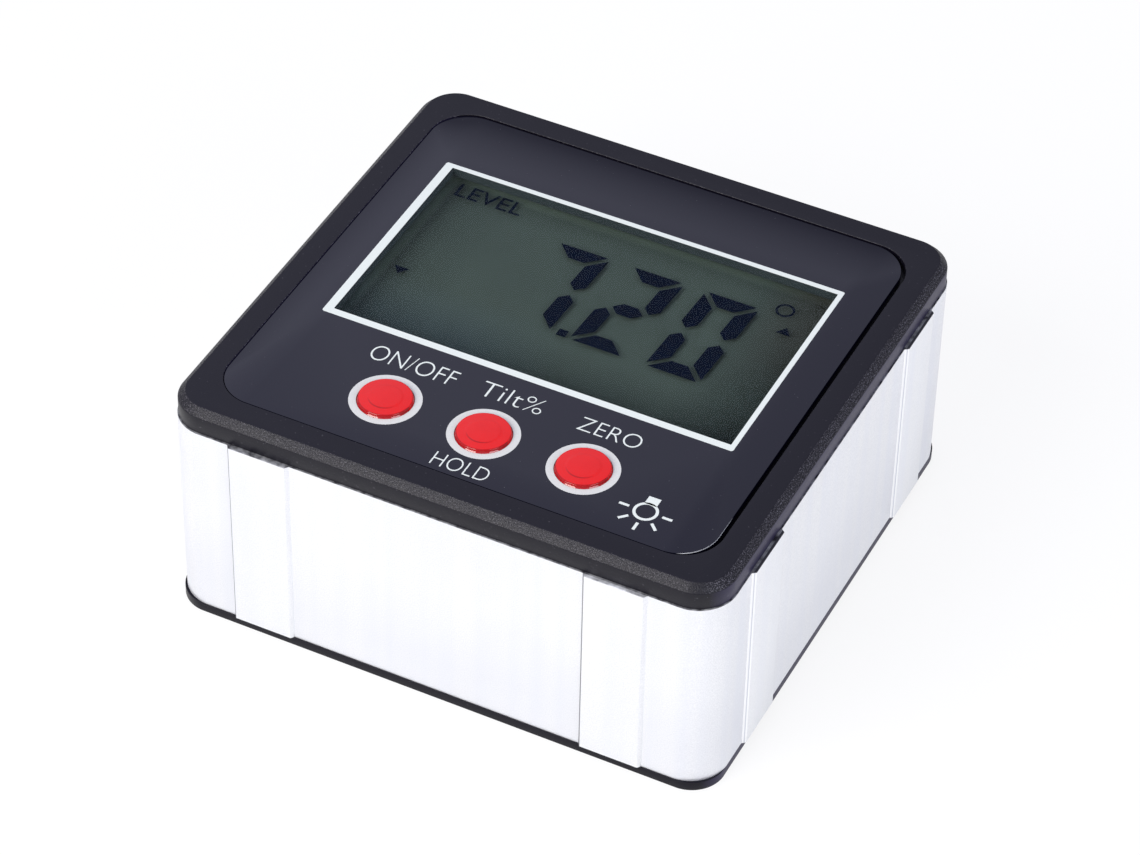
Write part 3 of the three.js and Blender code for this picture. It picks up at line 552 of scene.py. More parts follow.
def loft(levels, centre=(0, 0), steps=14):
    """A solid that rises through rounded rectangles, each given as (half sizes, radius, height)."""
    bm = bmesh.new()
    loops = [ring(bm, *half, radius, z, centre, steps) for half, radius, z in levels]
    skin(bm, loops)
    for loop in (loops[0], loops[-1]):
        bmesh.ops.edgeloop_fill(bm, edges=loop)
    bmesh.ops.recalc_face_normals(bm, faces=bm.faces)
    return bm


def slab(half_x, half_y, radius, z0, z1, centre=(0, 0)):
    return loft([((half_x, half_y), radius, z0), ((half_x, half_y), radius, z1)], centre)


def extruded(points, start, end, axis="Z"):
    """A solid whose outline stands square to an axis and runs from start to end along it."""
    bm = bmesh.new()
    verts = [bm.verts.new((start, u, v) if axis == "X" else (u, v, start)) for u, v in points]
    raised = bmesh.ops.extrude_face_region(bm, geom=[bm.faces.new(verts)])["geom"]
    far_end = [item for item in raised if isinstance(item, bmesh.types.BMVert)]
    run = (end - start, 0, 0) if axis == "X" else (0, 0, end - start)
    bmesh.ops.translate(bm, vec=run, verts=far_end)
    bmesh.ops.recalc_face_normals(bm, faces=bm.faces)
    return bm


def spun(profile, steps, at):
    """A closed profile of [radius, height] points, turned about the Z axis."""
    bm = bmesh.new()
    points = [bm.verts.new((radius, 0, height)) for radius, height in profile]
    edges = [bm.edges.new(pair) for pair in zip(points, points[1:])]
    bmesh.ops.spin(bm, geom=points + edges, cent=(0, 0, 0), axis=(0, 0, 1), angle=2 * math.pi,
                   steps=steps, use_merge=True, use_duplicate=False)
    bmesh.ops.remove_doubles(bm, verts=bm.verts, dist=1e-4)
    bmesh.ops.recalc_face_normals(bm, faces=bm.faces)
    bmesh.ops.translate(bm, vec=at, verts=bm.verts)
    return bm


# %% Joining and cutting
def loose_object(bm):
    mesh = bpy.data.meshes.new("tool")
    bm.to_mesh(mesh)
    bm.free()
    made = bpy.data.objects.new("tool", mesh)
    bpy.context.scene.collection.objects.link(made)
    return made


def combine(base, others, operation):
    objects = [loose_object(bm) for bm in (base, *others)]
    for tool in objects[1:]:
        modifier = objects[0].modifiers.new("tool", "BOOLEAN")
        modifier.operation = operation
        modifier.solver = "EXACT"
        modifier.object = tool
    depsgraph = bpy.context.evaluated_depsgraph_get()
    mesh = bpy.data.meshes.new_from_object(objects[0].evaluated_get(depsgraph))
    result = bmesh.new()
    result.from_mesh(mesh)
    bpy.data.meshes.remove(mesh)
    for made in objects:
        bpy.data.meshes.remove(made.data)
    return result


def join(base, *others):
    return combine(base, others, "UNION")


def cut(base, *others):
    return combine(base, others, "DIFFERENCE")


# %% Placing a piece
def place(bm, name, material, body, replaces=(), smooth=32):
    bmesh.ops.recalc_face_normals(bm, faces=bm.faces)
    bmesh.ops.scale(bm, vec=(MM, MM, MM), verts=bm.verts)
    mesh = bpy.data.meshes.new(name)
    bm.to_mesh(mesh)
    bm.free()
    mesh.shade_smooth()
    mesh.set_sharp_from_angle(angle=math.radians(smooth))
    mesh.materials.append(material)
    piece = bpy.data.objects.new(name, mesh)
    bpy.context.scene.collection.objects.link(piece)
    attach(piece, body)
    if replaces:
        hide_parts(*replaces)
    print(f"{name}: {len(mesh.polygons)} faces")
    return piece


# %% [markdown]
# ## Front bezel
#
# The bezel is one moulding. Its outside could be an extruded outline with a bevel, but the chamfer is far
# larger than the small radius along its two edges, so the outside is lofted through its levels and only those
# edges are bevelled. The rim and the well's walls are joined on behind. The pocket, the well, the key holes
# and the screw bores are then cut. The pocket's cutter flares at the top, which breaks the pocket's edge.

# %% Bezel: sizes
BEZEL_CHAMFER = 0.8
SIDE_BORDER = 3.1  # outer wall to the pocket, left and right
END_BORDER = 3.35  # the same, near and far
POCKET_DEPTH = 1.2
POCKET_RADIUS = 4.35
POCKET_BREAK = 0.04
WELL_WALL = 1.0
WELL_SIDE = 0.3  # display glass to the well's wall
WELL_RADIUS = 0.3
WELL_OUTER_RADIUS = 0.6
RIM_GAP = 2.4  # outer wall to the rim
RIM_WALL = 1.2
RIM_DEPTH = 2.0
RIM_RADIUS = 1.7
RIM_INNER_RADIUS = 1.2
WEB_WALL = 0.8
WEB_PITCH = 9.0
WEB_RADIUS = 0.05
REACH = 0.5  # how far pieces that are joined run into each other
CREST_EDGE = 0.08
CHAMFER_EDGE = 0.10
BASE_EDGE = 0.12
SAME = 0.01  # heights closer than this are one level
bezel_half = bezel_high.xy
bezel_radius = 4.0
bezel_top = bezel_high.z
bezel_bottom = tube_high.z
glass_low, glass_high = box_mm("lcd_front_glass")
well_half = (glass_high - glass_low).xy / 2 + Vector((WELL_SIDE, WELL_SIDE))
well_centre = ((glass_high + glass_low) / 2).xy
well_bottom = box_mm("main_board")[1].z + WELL_SIDE


def shrunk(half, amount):
    return half - Vector((amount, amount))


pocket_half = bezel_half - Vector((SIDE_BORDER, END_BORDER))
rim_half = shrunk(bezel_half, RIM_GAP)
print("pocket", [round(2 * v, 2) for v in pocket_half], "well", [round(2 * v, 2) for v in well_half])

# %% Bezel: outside, rim and well
def bezel_outside():
    crest_half = shrunk(bezel_half, BEZEL_CHAMFER)
    bm = loft([
        (bezel_half, bezel_radius, bezel_bottom),
        (bezel_half, bezel_radius, bezel_top - BEZEL_CHAMFER),
        (crest_half, bezel_radius - BEZEL_CHAMFER, bezel_top),
    ], steps=FINE_STEPS)
    soften(bm, sharp_edges(bm, lambda p: p.z > bezel_top - SAME), CREST_EDGE)
    soften(bm, sharp_edges(bm, lambda p: abs(p.z - bezel_top + BEZEL_CHAMFER) < SAME), CHAMFER_EDGE)
    soften(bm, sharp_edges(bm, lambda p: p.z < bezel_bottom + SAME), BASE_EDGE, 2)
    return bm


def bezel_body():
    """The solid, and the tools that cut its well and its pocket."""
    sunk = bezel_bottom + REACH
    rim = cut(
        slab(*rim_half, RIM_RADIUS, bezel_bottom - RIM_DEPTH, sunk),
        slab(*shrunk(rim_half, RIM_WALL), RIM_INNER_RADIUS, bezel_bottom - RIM_DEPTH - OVERRUN, bezel_bottom),
    )
    walls = slab(*shrunk(well_half, -WELL_WALL), WELL_OUTER_RADIUS, well_bottom, sunk, well_centre)
    web = Vector((rim_half.x - RIM_WALL / 2, WEB_WALL / 2))
    webs = [
        slab(*web, WEB_RADIUS, bezel_bottom - RIM_DEPTH, sunk, (0, well_centre.y + step * WEB_PITCH))
        for step in (-1, 0, 1)
    ]
    well = slab(*well_half, WELL_RADIUS, well_bottom - OVERRUN, bezel_top, well_centre)
    flare = shrunk(pocket_half, -POCKET_BREAK)
    pocket = loft([
        (pocket_half, POCKET_RADIUS, bezel_top - POCKET_DEPTH),
        (pocket_half, POCKET_RADIUS, bezel_top - POCKET_BREAK),
        (flare, POCKET_RADIUS + POCKET_BREAK, bezel_top),
        (flare, POCKET_RADIUS + POCKET_BREAK, bezel_top + OVERRUN),
    ], steps=FINE_STEPS)
    return join(bezel_outside(), rim, walls, *webs), [well, pocket]


# %% Bezel: bosses on, key holes and screw bores out
CAP_HOLE = 2.9
COVER_BOSS = 2.8
BOARD_BOSS = 1.9
COVER_BORE = 1.05
COVER_BORE_DEPTH = 11.0
BOARD_BORE = 0.95
BOARD_BORE_END = 0.05  # past the screw's tip
BORE_STEPS = 24
HOLE_STEPS = 64
SCREWS = range(1, 5)


def screw_at(node):
    """A screw's place, and the height of its upper end."""
    low, high = box_mm(node)
    return *((low + high) / 2).xy, high.z


def bosses():
    made, bores = [], []
    board_top = box_mm("main_board")[1].z
    for i in SCREWS:
        x, y, _ = screw_at(f"cover_screw_{i}")
        made.append(post(x, y, COVER_BOSS, bezel_low.z, bezel_bottom + REACH))
        bores.append(post(x, y, COVER_BORE, bezel_low.z - OVERRUN, bezel_low.z + COVER_BORE_DEPTH, BORE_STEPS))
        x, y, end = screw_at(f"board_screw_{i}")
        made.append(post(x, y, BOARD_BOSS, board_top, bezel_bottom + REACH))
        bores.append(post(x, y, BOARD_BORE, board_top - OVERRUN, end + BOARD_BORE_END, BORE_STEPS))
    return made, bores


def key_posts(radius, z0, z1):
    return [post(c.x, c.y, radius, z0, z1, HOLE_STEPS) for c in key_centres.values()]


boss_solids, boss_bores = bosses()
key_holes = key_posts(CAP_HOLE, bezel_bottom - OVERRUN, bezel_top + OVERRUN)
body, openings = bezel_body()
bezel = cut(join(body, *boss_solids), *openings, *key_holes, *boss_bores)
place(bezel, "bezel_moulding", BEZEL_MOULDING, "housing", ["front_bezel"])

# %% [markdown]
# ## Aluminium tube
#
# The tube is extruded, so its section is the same all along. It starts as a ring that rises into a wall. The
# wall is cut into strips with `bisect_plane`, and the strips that are rails are pushed out along their own
# normals and narrowed, so that their flanks slope. Their edges are broken so that each one draws a fine line.
# Two round pockets inside take the magnets that hold the instrument to steel.

# %% Tube: wall and rails
TUBE_WALL = 2.4
RAIL_PROUD = 0.4
RAIL_WIDTH = 6.85  # where it meets the wall
RAIL_FLANK = 0.3
RAIL_FROM_SIDE = 7.35
RAIL_EDGE = 0.06
GAP = 0.1  # between pieces that slide or drop in
TUBE_RADIUS = 4.1
tube_half = shrunk(tube_high.xy, RAIL_PROUD)


def rail_strips():
    """For each side, its axis, its sign and the stretches of it that are rails."""
    for axis in (0, 1):
        outer = tube_half[1 - axis] - RAIL_FROM_SIDE
        for sign in (-1, 1):
            for start in (-outer, outer - RAIL_WIDTH):
                yield axis, sign, start, start + RAIL_WIDTH


def tube_solid():
    bm = bmesh.new()
    outer = [ring(bm, *tube_half, TUBE_RADIUS, z, steps=FINE_STEPS) for z in (tube_low.z, tube_high.z)]
    inner_half = shrunk(tube_half, TUBE_WALL)
    inner_radius = TUBE_RADIUS - TUBE_WALL
    inner = [ring(bm, *inner_half, inner_radius, z, steps=FINE_STEPS) for z in (tube_high.z, tube_low.z)]
    skin(bm, outer + inner, closed=True)
    bmesh.ops.recalc_face_normals(bm, faces=bm.faces)
    return bm


def push_rails(bm):
    """Cuts the wall at each rail's sides, pushes the rails out and narrows them."""
    for axis in (0, 1):
        normal = Vector((0, 1, 0) if axis == 0 else (1, 0, 0))
        cuts = sorted({round(end, 4) for a, _, low, high in rail_strips() if a == axis for end in (low, high)})
        for place_along in cuts:
            geometry = bm.verts[:] + bm.edges[:] + bm.faces[:]
            bmesh.ops.bisect_plane(bm, geom=geometry, plane_co=normal * place_along, plane_no=normal)
    for axis, sign, low, high in rail_strips():
        out = Vector((sign, 0, 0) if axis == 0 else (0, sign, 0))
        faces = [
            face for face in bm.faces
            if face.normal.dot(out) > 0.999 and low < face.calc_center_median()[1 - axis] < high
            and abs(face.calc_center_median()[axis] - sign * tube_half[axis]) < SAME
        ]
        pushed = bmesh.ops.extrude_face_region(bm, geom=faces)["geom"]
        verts = [item for item in pushed if isinstance(item, bmesh.types.BMVert)]
        bmesh.ops.translate(bm, vec=out * RAIL_PROUD, verts=verts)
        for vert in verts:
            inward = RAIL_FLANK if vert.co[1 - axis] < (low + high) / 2 else -RAIL_FLANK
            vert.co[1 - axis] += inward
        bmesh.ops.delete(bm, geom=faces, context="FACES_ONLY")


def magnet_pocket(node):
    """A round pocket in the near wall, which opens inwards."""
    low, high = box_mm(node)
    middle = (low + high) / 2
    disc = post(0, 0, (high.x - low.x) / 2 + GAP, 0, high.y - low.y + OVERRUN)
    bmesh.ops.rotate(disc, verts=disc.verts, cent=(0, 0, 0), matrix=Matrix.Rotation(-math.pi / 2, 3, "X"))
    bmesh.ops.translate(disc, verts=disc.verts, vec=(middle.x, low.y, middle.z))
    return disc


tube = tube_solid()
push_rails(tube)
bmesh.ops.recalc_face_normals(tube, faces=tube.faces)
beyond = shrunk(tube_half, -RAIL_PROUD * 0.9)
rail_corners = sharp_edges(tube, lambda p: abs(p.x) > beyond.x or abs(p.y) > beyond.y)
soften(tube, rail_corners, RAIL_EDGE, 2)
tube = cut(tube, *(magnet_pocket(f"base_magnet_{side}") for side in ("left", "right")))
place(tube, "rail_tube", BLASTED_ALUMINIUM, "housing", ["aluminium_frame"], smooth=28)

# %% [markdown]
# ## Face panel
#
# The panel is a plain sheet with a window and three round holes. It is bonded into the bezel's pocket, a
# little off centre, so the dark gap round it is wider at the right. A tiny bevel runs round its upper edge,
# and at the near right corner a highlight is painted on it.

# %% Panel: sheet, window and key holes
PANEL_RADIUS = 4.2
PANEL_EDGE = 0.07
WINDOW_RADIUS = 0.05
BOND_LINE = 0.02
PANEL_HOLE = 2.87
panel_centre = ((panel_low + panel_high) / 2).xy
panel_half = ((panel_high - panel_low) / 2).xy
window_centre = ((window_low + window_high) / 2).xy
lens_half = ((window_high - window_low) / 2).xy
window_half = shrunk(lens_half, -BOND_LINE)


def panel_sheet():
    bm = bmesh.new()
    outline = (*panel_half, PANEL_RADIUS)
    window = (*window_half, WINDOW_RADIUS)
    loops = [
        ring(bm, *outline, panel_low.z, panel_centre, FINE_STEPS),
        ring(bm, *outline, panel_high.z, panel_centre, FINE_STEPS),
        ring(bm, *window, panel_high.z, window_centre, FINE_STEPS),
        ring(bm, *window, panel_low.z, window_centre, FINE_STEPS),
    ]
    skin(bm, loops, closed=True)
    soften(bm, loops[1], PANEL_EDGE, 2)
    bmesh.ops.recalc_face_normals(bm, faces=bm.faces)
    return bm


holes = key_posts(PANEL_HOLE, panel_low.z - OVERRUN, panel_high.z + OVERRUN)
place(cut(panel_sheet(), *holes), "panel_sheet", PANEL_GLOSS, "housing", ["face_panel"])

# %% [markdown]
# ## Print on the panel
#
# The legends could be drawn in the panel's shader, but ink stands on the surface and has its own dull gloss,
# so each mark is a thin plate, a hundredth of a millimetre thick. A `hollow_plate` between two rings makes the
# frame line and the key rings, and the words are text objects that are made into meshes. The words only say
# what each key does.

# %% Print: frame line, key rings and lamp sign
INK = 0.012
INK_RING_OUTER = 3.64
INK_RING_INNER = 2.88
LINE_LOW = Vector((-22.84, -9.80))
LINE_HIGH = Vector((22.44, 17.04))
LINE_RADIUS = 0.25
LINE_INNER_RADIUS = 0.06
ink_base = panel_high.z


def hollow_plate(outer, inner, z):
    """A thin plate between two loops, each given as (half sizes, radius, centre)."""
    bm = bmesh.new()
    loops = []
    for (half, radius, centre), level in ((outer, z), (outer, z + INK), (inner, z + INK), (inner, z)):
        loops.append(ring(bm, *half, radius, level, centre))
    skin(bm, loops, closed=True)
    return bm


def join_all(parts):
    """Puts separate bmeshes into one, without cutting them against each other."""
    whole = bmesh.new()
    for part in parts:
        mesh = bpy.data.meshes.new("part")
        part.to_mesh(mesh)
        part.free()
        whole.from_mesh(mesh)
        bpy.data.meshes.remove(mesh)
    return whole


def round_ring(x, y, outer, inner, z):
    """A hollow plate whose corners take up all but a trace of its sides, so that it is round."""
    trace = 1e-4
    at = (x, y)
    return hollow_plate(((outer, outer), outer - trace, at), ((inner, inner), inner - trace, at), z)


line_half = (LINE_HIGH - LINE_LOW) / 2
line_centre = (LINE_HIGH + LINE_LOW) / 2
line_outside = (line_half, LINE_RADIUS, line_centre)
line_inside = (window_half, LINE_INNER_RADIUS, window_centre)
frame_line = hollow_plate(line_outside, line_inside, ink_base)
place(frame_line, "window_line", LINE_INK, "housing")
rings = [round_ring(c.x, c.y, INK_RING_OUTER, INK_RING_INNER, ink_base) for c in key_centres.values()]
place(join_all(rings), "key_rings", RING_INK, "housing")

# %% Print: lamp sign
LAMP_CENTRE = Vector((18.7, -21.3))
LAMP_RADIUS = 1.27
LAMP_LINE = 0.30
SOCKET_LOW = Vector((-0.62, 1.02))  # the lamp's socket, from the lamp's centre
SOCKET_HIGH = Vector((0.66, 2.12))
RAY_START = 1.75
RAY_LENGTH = 1.05
RAY_ANGLES = (180, 225, 270, 315, 360)


def bar(start, end, width, z):
    """A straight stroke of ink between two points."""
    start, end = Vector(start), Vector(end)
    along = end - start
    bm = block((0, -width / 2, 0), (along.length, width / 2, INK))
    turn = Matrix.Rotation(math.atan2(along.y, along.x), 3, "Z")
    bmesh.ops.rotate(bm, verts=bm.verts, cent=(0, 0, 0), matrix=turn)
    bmesh.ops.translate(bm, vec=(*start, z), verts=bm.verts)
    return bm


def lamp_sign():
    x, y = LAMP_CENTRE
    parts = [round_ring(x, y, LAMP_RADIUS, LAMP_RADIUS - LAMP_LINE, ink_base)]
    socket_low, socket_high = LAMP_CENTRE + SOCKET_LOW, LAMP_CENTRE + SOCKET_HIGH
    parts.append(block((*socket_low, ink_base), (*socket_high, ink_base + INK)))
    for angle in RAY_ANGLES:
        ray = Vector((math.cos(math.radians(angle)), math.sin(math.radians(angle))))
        start = LAMP_CENTRE + ray * RAY_START
        parts.append(bar(start, start + ray * RAY_LENGTH, LAMP_LINE, ink_base))
    return join_all(parts)


place(lamp_sign(), "lamp_sign", LINE_INK, "housing")

# %% Print: what each key does
LETTER_STEPS = 6
LEGEND_WEIGHT = -0.018


def words(text, low, high, z, weight):
    """Text as a thin plate that fills the box given. The weight thickens its strokes, or thins them."""
    curve = bpy.data.curves.new(text, "FONT")
    curve.body = text
    curve.size = 1
    curve.offset = weight
    curve.resolution_u = LETTER_STEPS
    made = bpy.data.objects.new(text, curve)
    bpy.context.scene.collection.objects.link(made)
    bpy.context.view_layer.update()
    mesh = bpy.data.meshes.new_from_object(made.evaluated_get(bpy.context.evaluated_depsgraph_get()))
    bm = bmesh.new()
    bm.from_mesh(mesh)
    bpy.data.meshes.remove(mesh)
    bpy.data.curves.remove(curve)
    bmesh.ops.remove_doubles(bm, verts=bm.verts, dist=1e-5)
    xs = [v.co.x for v in bm.verts]
    ys = [v.co.y for v in bm.verts]
    size = Vector((max(xs) - min(xs), max(ys) - min(ys)))
    bmesh.ops.translate(bm, vec=(-min(xs), -min(ys), 0), verts=bm.verts)
    scale = ((high[0] - low[0]) / size.x, (high[1] - low[1]) / size.y, 1)
    bmesh.ops.scale(bm, vec=scale, verts=bm.verts)
    bmesh.ops.translate(bm, vec=(*low, z), verts=bm.verts)
    raised = bmesh.ops.extrude_face_region(bm, geom=bm.faces[:])["geom"]
    verts = [item for item in raised if isinstance(item, bmesh.types.BMVert)]
    bmesh.ops.translate(bm, vec=(0, 0, INK), verts=verts)
    return bm


LEGENDS = {
    "ON/OFF": ((-15.43, -13.98), (-6.02, -11.78)),
    "Tilt%": ((-3.32, -13.80), (3.48, -11.60)),
    "ZERO": ((7.55, -13.85), (14.15, -11.88)),
    "HOLD": ((-2.77, -24.80), (3.20, -22.92)),
}
legends = [words(text, low, high, ink_base, LEGEND_WEIGHT) for text, (low, high) in LEGENDS.items()]
place(join_all(legends), "key_legends", LINE_INK, "housing")

# %% [markdown]
# ## Display window
#
# The lens is a clear slab bonded into the panel. Real clear plastic bends light, which in a render blocks most
# of the light that should reach the display under it. A pane that doesn't bend light shows the same picture
# if what lies under it is set where it appears to be. So the lens is a mix of a see-through and a glossy
# shader, whose share grows as the view gets flatter, and the display's marks lie at their apparent depth. A ray
# that leaves the pane would be thrown back in by the same rule, so only the outer side reflects.

# %% Clear finishes
def clear_pane(name, tint, ior, haze):
    """The index is lower than the real one, so that the pane mirrors as little as the photograph shows."""
    finish = Finish(name)
    through = finish.node("ShaderNodeBsdfTransparent", None, {"Color": tint})
    gloss = finish.node("ShaderNodeBsdfGlossy", None, {"Color": (1, 1, 1, 1), "Roughness": haze})
    fresnel = finish.wire("ShaderNodeFresnel", 0, None, {"IOR": ior})
    leaving = finish.wire("ShaderNodeNewGeometry", "Backfacing")
    mixed = finish.node("ShaderNodeMixShader", None,
                        {0: fresnel * (1 - leaving), 1: through.outputs[0], 2: gloss.outputs[0]})
    finish.end(mixed.outputs[0])
    return finish.material


LENS = clear_pane("lens_clear", tint=(0.98, 0.99, 0.985, 1), ior=1.11, haze=0.05)
DISPLAY_GLASS = clear_pane("display_glass", tint=(0.92, 0.96, 0.94, 1), ior=1.06, haze=0.2)

# %% Lens
lens = slab(*lens_half, WINDOW_RADIUS, window_low.z, window_high.z, window_centre)
place(lens, "lens", LENS, "housing", ["display_window"])

# %% [markdown]
# ## Display
#
# A reflective liquid-crystal display shows dark marks that float a little above a grey-green ground, so each
# mark has a soft shadow beside it. Here the marks are thin plates, the ground is a plate below them, and the
# lamps cast the shadows. Both stand at the depth where they appear to be: at this angle, lens and glass look
# about half as thick as they are. The ground's colour has painted shade towards its edges, where the well
# shades it, painted light that lifts its far and left edges, and a painted bluish reflection in its near left
# part.

# %% Display: painted light and shade on the ground
GROUND_GAIN = 2.4  # the brightest stretch, against the middle
# each painted shade has the two distances from the window's side between which it fades out, and its share of
# light
LEFT_FADING = (0.5, 8.5, 0.26)
LEFT_EDGE_FADING = (1.0, 3.5, 0.17)
RIGHT_FADING = (1.5, 9.5, 0.49)
NEAR_FADING = (2.4, 7.6, 0.38)
FAR_FADING = (0.0, 4.0, 0.08)
FAR_LIFT = 0.8
LEFT_LIFT = 1.7


def faded(distance, start, end, loss):
    """1 inside, falling to 1 less the loss between two distances from the window's side."""
    return 1 - distance.below((start + end) / 2, end - start) * loss


def painted_ground_light(x, y):
    light = faded(x - window_low.x, *LEFT_FADING) * faded(window_high.x - x, *RIGHT_FADING)
    light = light * faded(y - window_low.y, *NEAR_FADING) * faded(window_high.y - y, *FAR_FADING)
    light = light * faded(x - window_low.x, *LEFT_EDGE_FADING)
    # painted light: the panel shades the far and left edges here, but the real ones are lit through the lens
    light = light * (1 + y.above(window_high.y + 0.15, 1.2) * FAR_LIFT)
    return light * (1 + (window_low.x + 0.3 - x).above(0, 1.0) * LEFT_LIFT)


# %% Display: ground
GROUND_GREEN = rgb(114, 121, 116)
GROUND_GREEN_DULL = rgb(109, 116, 112)
GROUND_PAINTED_REFLECTION = rgb(116, 126, 134)  # painted bluish reflection of the lens, in the near left part
GROUND_BROWNISH = rgb(133, 126, 119)  # in the far right corner
# painted shade: the dark that the ground's colour runs towards at its edges
GROUND_PAINTED_SHADE = rgb(4, 6, 18)


def display_ground():
    finish = Finish("display_ground")
    x, y = finish.axis("X"), finish.axis("Y")
    cloud = finish.noise(8.0, 2)
    ground = finish.mix(GROUND_GREEN, GROUND_GREEN_DULL, cloud.above(0.5, 0.6))
    painted_reflection = (0 - y).above(2.5, 7) * (0 - x).above(4, 10)
    ground = finish.mix(ground, GROUND_PAINTED_REFLECTION, painted_reflection * 0.7)
    brownish = x.above(17.5, 6) * y.above(5, 10)
    ground = finish.mix(ground, GROUND_BROWNISH, brownish * 0.75)
    # painted light and shade: the ground's colour goes darker or lighter by the painted light
    ground = finish.mix(GROUND_PAINTED_SHADE, ground, painted_ground_light(x, y) * (1 / GROUND_GAIN))
    return finish.surface(ground, 0.55 + cloud * 0.1, finish.noise(0.15), 0.002, specular_ior_level=0.0)


DISPLAY_GROUND = display_ground()
GROUND_LEVEL = 25.0
GROUND_THICKNESS = 0.02
GROUND_INSET = 0.2
ground_low, ground_high = box_mm("lcd_rear_glass")
ground = block(
    (ground_low.x + GROUND_INSET, ground_low.y + GROUND_INSET, GROUND_LEVEL - GROUND_THICKNESS),
    (ground_high.x - GROUND_INSET, ground_high.y - GROUND_INSET, GROUND_LEVEL),
)
place(ground, "display_ground", DISPLAY_GROUND, "housing")

# %% [markdown]
# Light has to pass every clear face twice, on its way in and out, and a render follows only so many of them.
# Each of the display's panes lies on the one below, so its lower face is left out.

# %% Display: front glass and its polariser
def laid_pane(name, node):
    pane = block(*box_mm(node))
    under = [face for face in pane.faces if face.normal.z < -0.9]
    bmesh.ops.delete(pane, geom=under, context="FACES_ONLY")
    place(pane, name, DISPLAY_GLASS, "housing", [node])


laid_pane("front_glass", "lcd_front_glass")
laid_pane("front_polariser", "lcd_front_polariser")


# %% Display: ink of the marks
def mark_ink():
    finish = Finish("mark_ink")
    cloud = finish.noise(3.0)
    colour = finish.mix(rgb(5, 12, 32), rgb(9, 17, 36), cloud)
    return finish.surface(colour, 0.45 + cloud * 0.1, specular_ior_level=0.0)


MARK_INK = mark_ink()

# %% Display: sizes of the figures
MARK_LEVEL = 25.42  # where the marks appear to float, seen through the lens
MARK_THICKNESS = 0.01
DIGIT_WIDTH = 6.0
DIGIT_HEIGHT = 13.05
BAR = 1.75
MITRE_X = 0.34  # how far a level bar stops short of the figure's side
MITRE_Y = 0.42  # how far an upright bar stops short of the figure's top
TIP = 0.45  # an upright bar's tip to the figure's middle
SHOULDER = 1.27  # its full width starts this far from the figure's middle
WAIST = 1.34  # middle bar's tip to the figure's side
WAIST_SHOULDER = 0.87  # length of its pointed end
SLANT = 0.0488  # how far the figures lean to the right for each millimetre up
BARS = {"7": "abc", "2": "abged", "0": "abcdef"}


# %% Display: the seven bars of a figure
def upside_down(points):
    return [(x, DIGIT_HEIGHT - y) for x, y in points]


def mirrored(points):
    return [(DIGIT_WIDTH - x, y) for x, y in points]


def bar_outlines():
    """Each bar's outline, from the figure's own lower left corner."""
    w, h, t, middle = DIGIT_WIDTH, DIGIT_HEIGHT, BAR, DIGIT_HEIGHT / 2
    full = WAIST + WAIST_SHOULDER
    top = [(MITRE_X, h), (w - MITRE_X, h), (w - MITRE_X - t, h - t), (MITRE_X + t, h - t)]
    right = [(w, h - MITRE_Y), (w, middle + SHOULDER), (w - t / 2, middle + TIP),
             (w - t, middle + SHOULDER), (w - t, h - MITRE_Y - t)]
    waist = [(WAIST, middle), (full, middle + t / 2), (w - full, middle + t / 2),
             (w - WAIST, middle), (w - full, middle - t / 2), (full, middle - t / 2)]
    return {
        "a": top, "b": right, "c": upside_down(right), "d": upside_down(top),
        "e": mirrored(upside_down(right)), "f": mirrored(right), "g": waist,
    }


def mark(points, offset, slant=0.0):
    """A flat mark with the outline given, raised into a thin plate."""
    moved = [(offset[0] + x + slant * y, offset[1] + y) for x, y in points]
    return extruded(moved, MARK_LEVEL, MARK_LEVEL + MARK_THICKNESS)


# %% [markdown]
# The marks' places are read on the plane of the bezel's top. A mark lies deeper, so it is moved along the line
# of sight from there to its own level.

# %% Display: where each mark stands
def sunk(x, y):
    """The place at the marks' level that the camera sees behind this one at the level of the bezel's top."""
    eye = CAMERA_TARGET + towards_camera * CAMERA_DISTANCE
    share = (eye.z - MARK_LEVEL) / (eye.z - bezel_top)
    return (eye.x + (x - eye.x) * share, eye.y + (y - eye.y) * share)


FIGURES = (("7", -7.30), ("2", 1.02), ("0", 9.34))  # each with the place of its left side
FIGURE_BASE = -2.36
POINT = ((0, 0), (1.0, 0), (1.0, 1.0), (0, 1.0))
POINT_AT = (-0.45, FIGURE_BASE)
UP_POINTER = ((-0.8, 0), (0.8, 0), (0, 1.1))
UP_POINTER_AT = (19.55, 8.14)
DOWN_POINTER = ((-0.8, 0), (0, -1.1), (0.8, 0))
DOWN_POINTER_AT = (-18.86, -0.27)
DEGREE_RADII = (1.0, 0.75)
DEGREE_AT = (18.27, 11.59)
LEVEL_LOW, LEVEL_HIGH = (-19.73, 12.41), (-12.18, 14.45)
LEVEL_WEIGHT = 0.004

outlines = bar_outlines()
marks = []
for figure, left in FIGURES:
    for bar_name in BARS[figure]:
        marks.append(mark(outlines[bar_name], sunk(left, FIGURE_BASE), SLANT))
for points, at in ((POINT, POINT_AT), (UP_POINTER, UP_POINTER_AT), (DOWN_POINTER, DOWN_POINTER_AT)):
    marks.append(mark(points, sunk(*at)))
marks.append(round_ring(*sunk(*DEGREE_AT), *DEGREE_RADII, MARK_LEVEL))
marks.append(words("LEVEL", sunk(*LEVEL_LOW), sunk(*LEVEL_HIGH), MARK_LEVEL, LEVEL_WEIGHT))
place(join_all(marks), "display_marks", MARK_INK, "housing")

# %% [markdown]
# ## Keys
#
# A key cap is a turned shape: a flange that keeps it in, a side with a sloping foot, and a top that is just
# crowned, with a middle that stands a hair proud. The foot draws the bright arcs of the real caps, and the
# middle's edge, with painted shade on its near side, draws the dark crescent inside them. A profile spun about
# its axis is the shortest way to it.

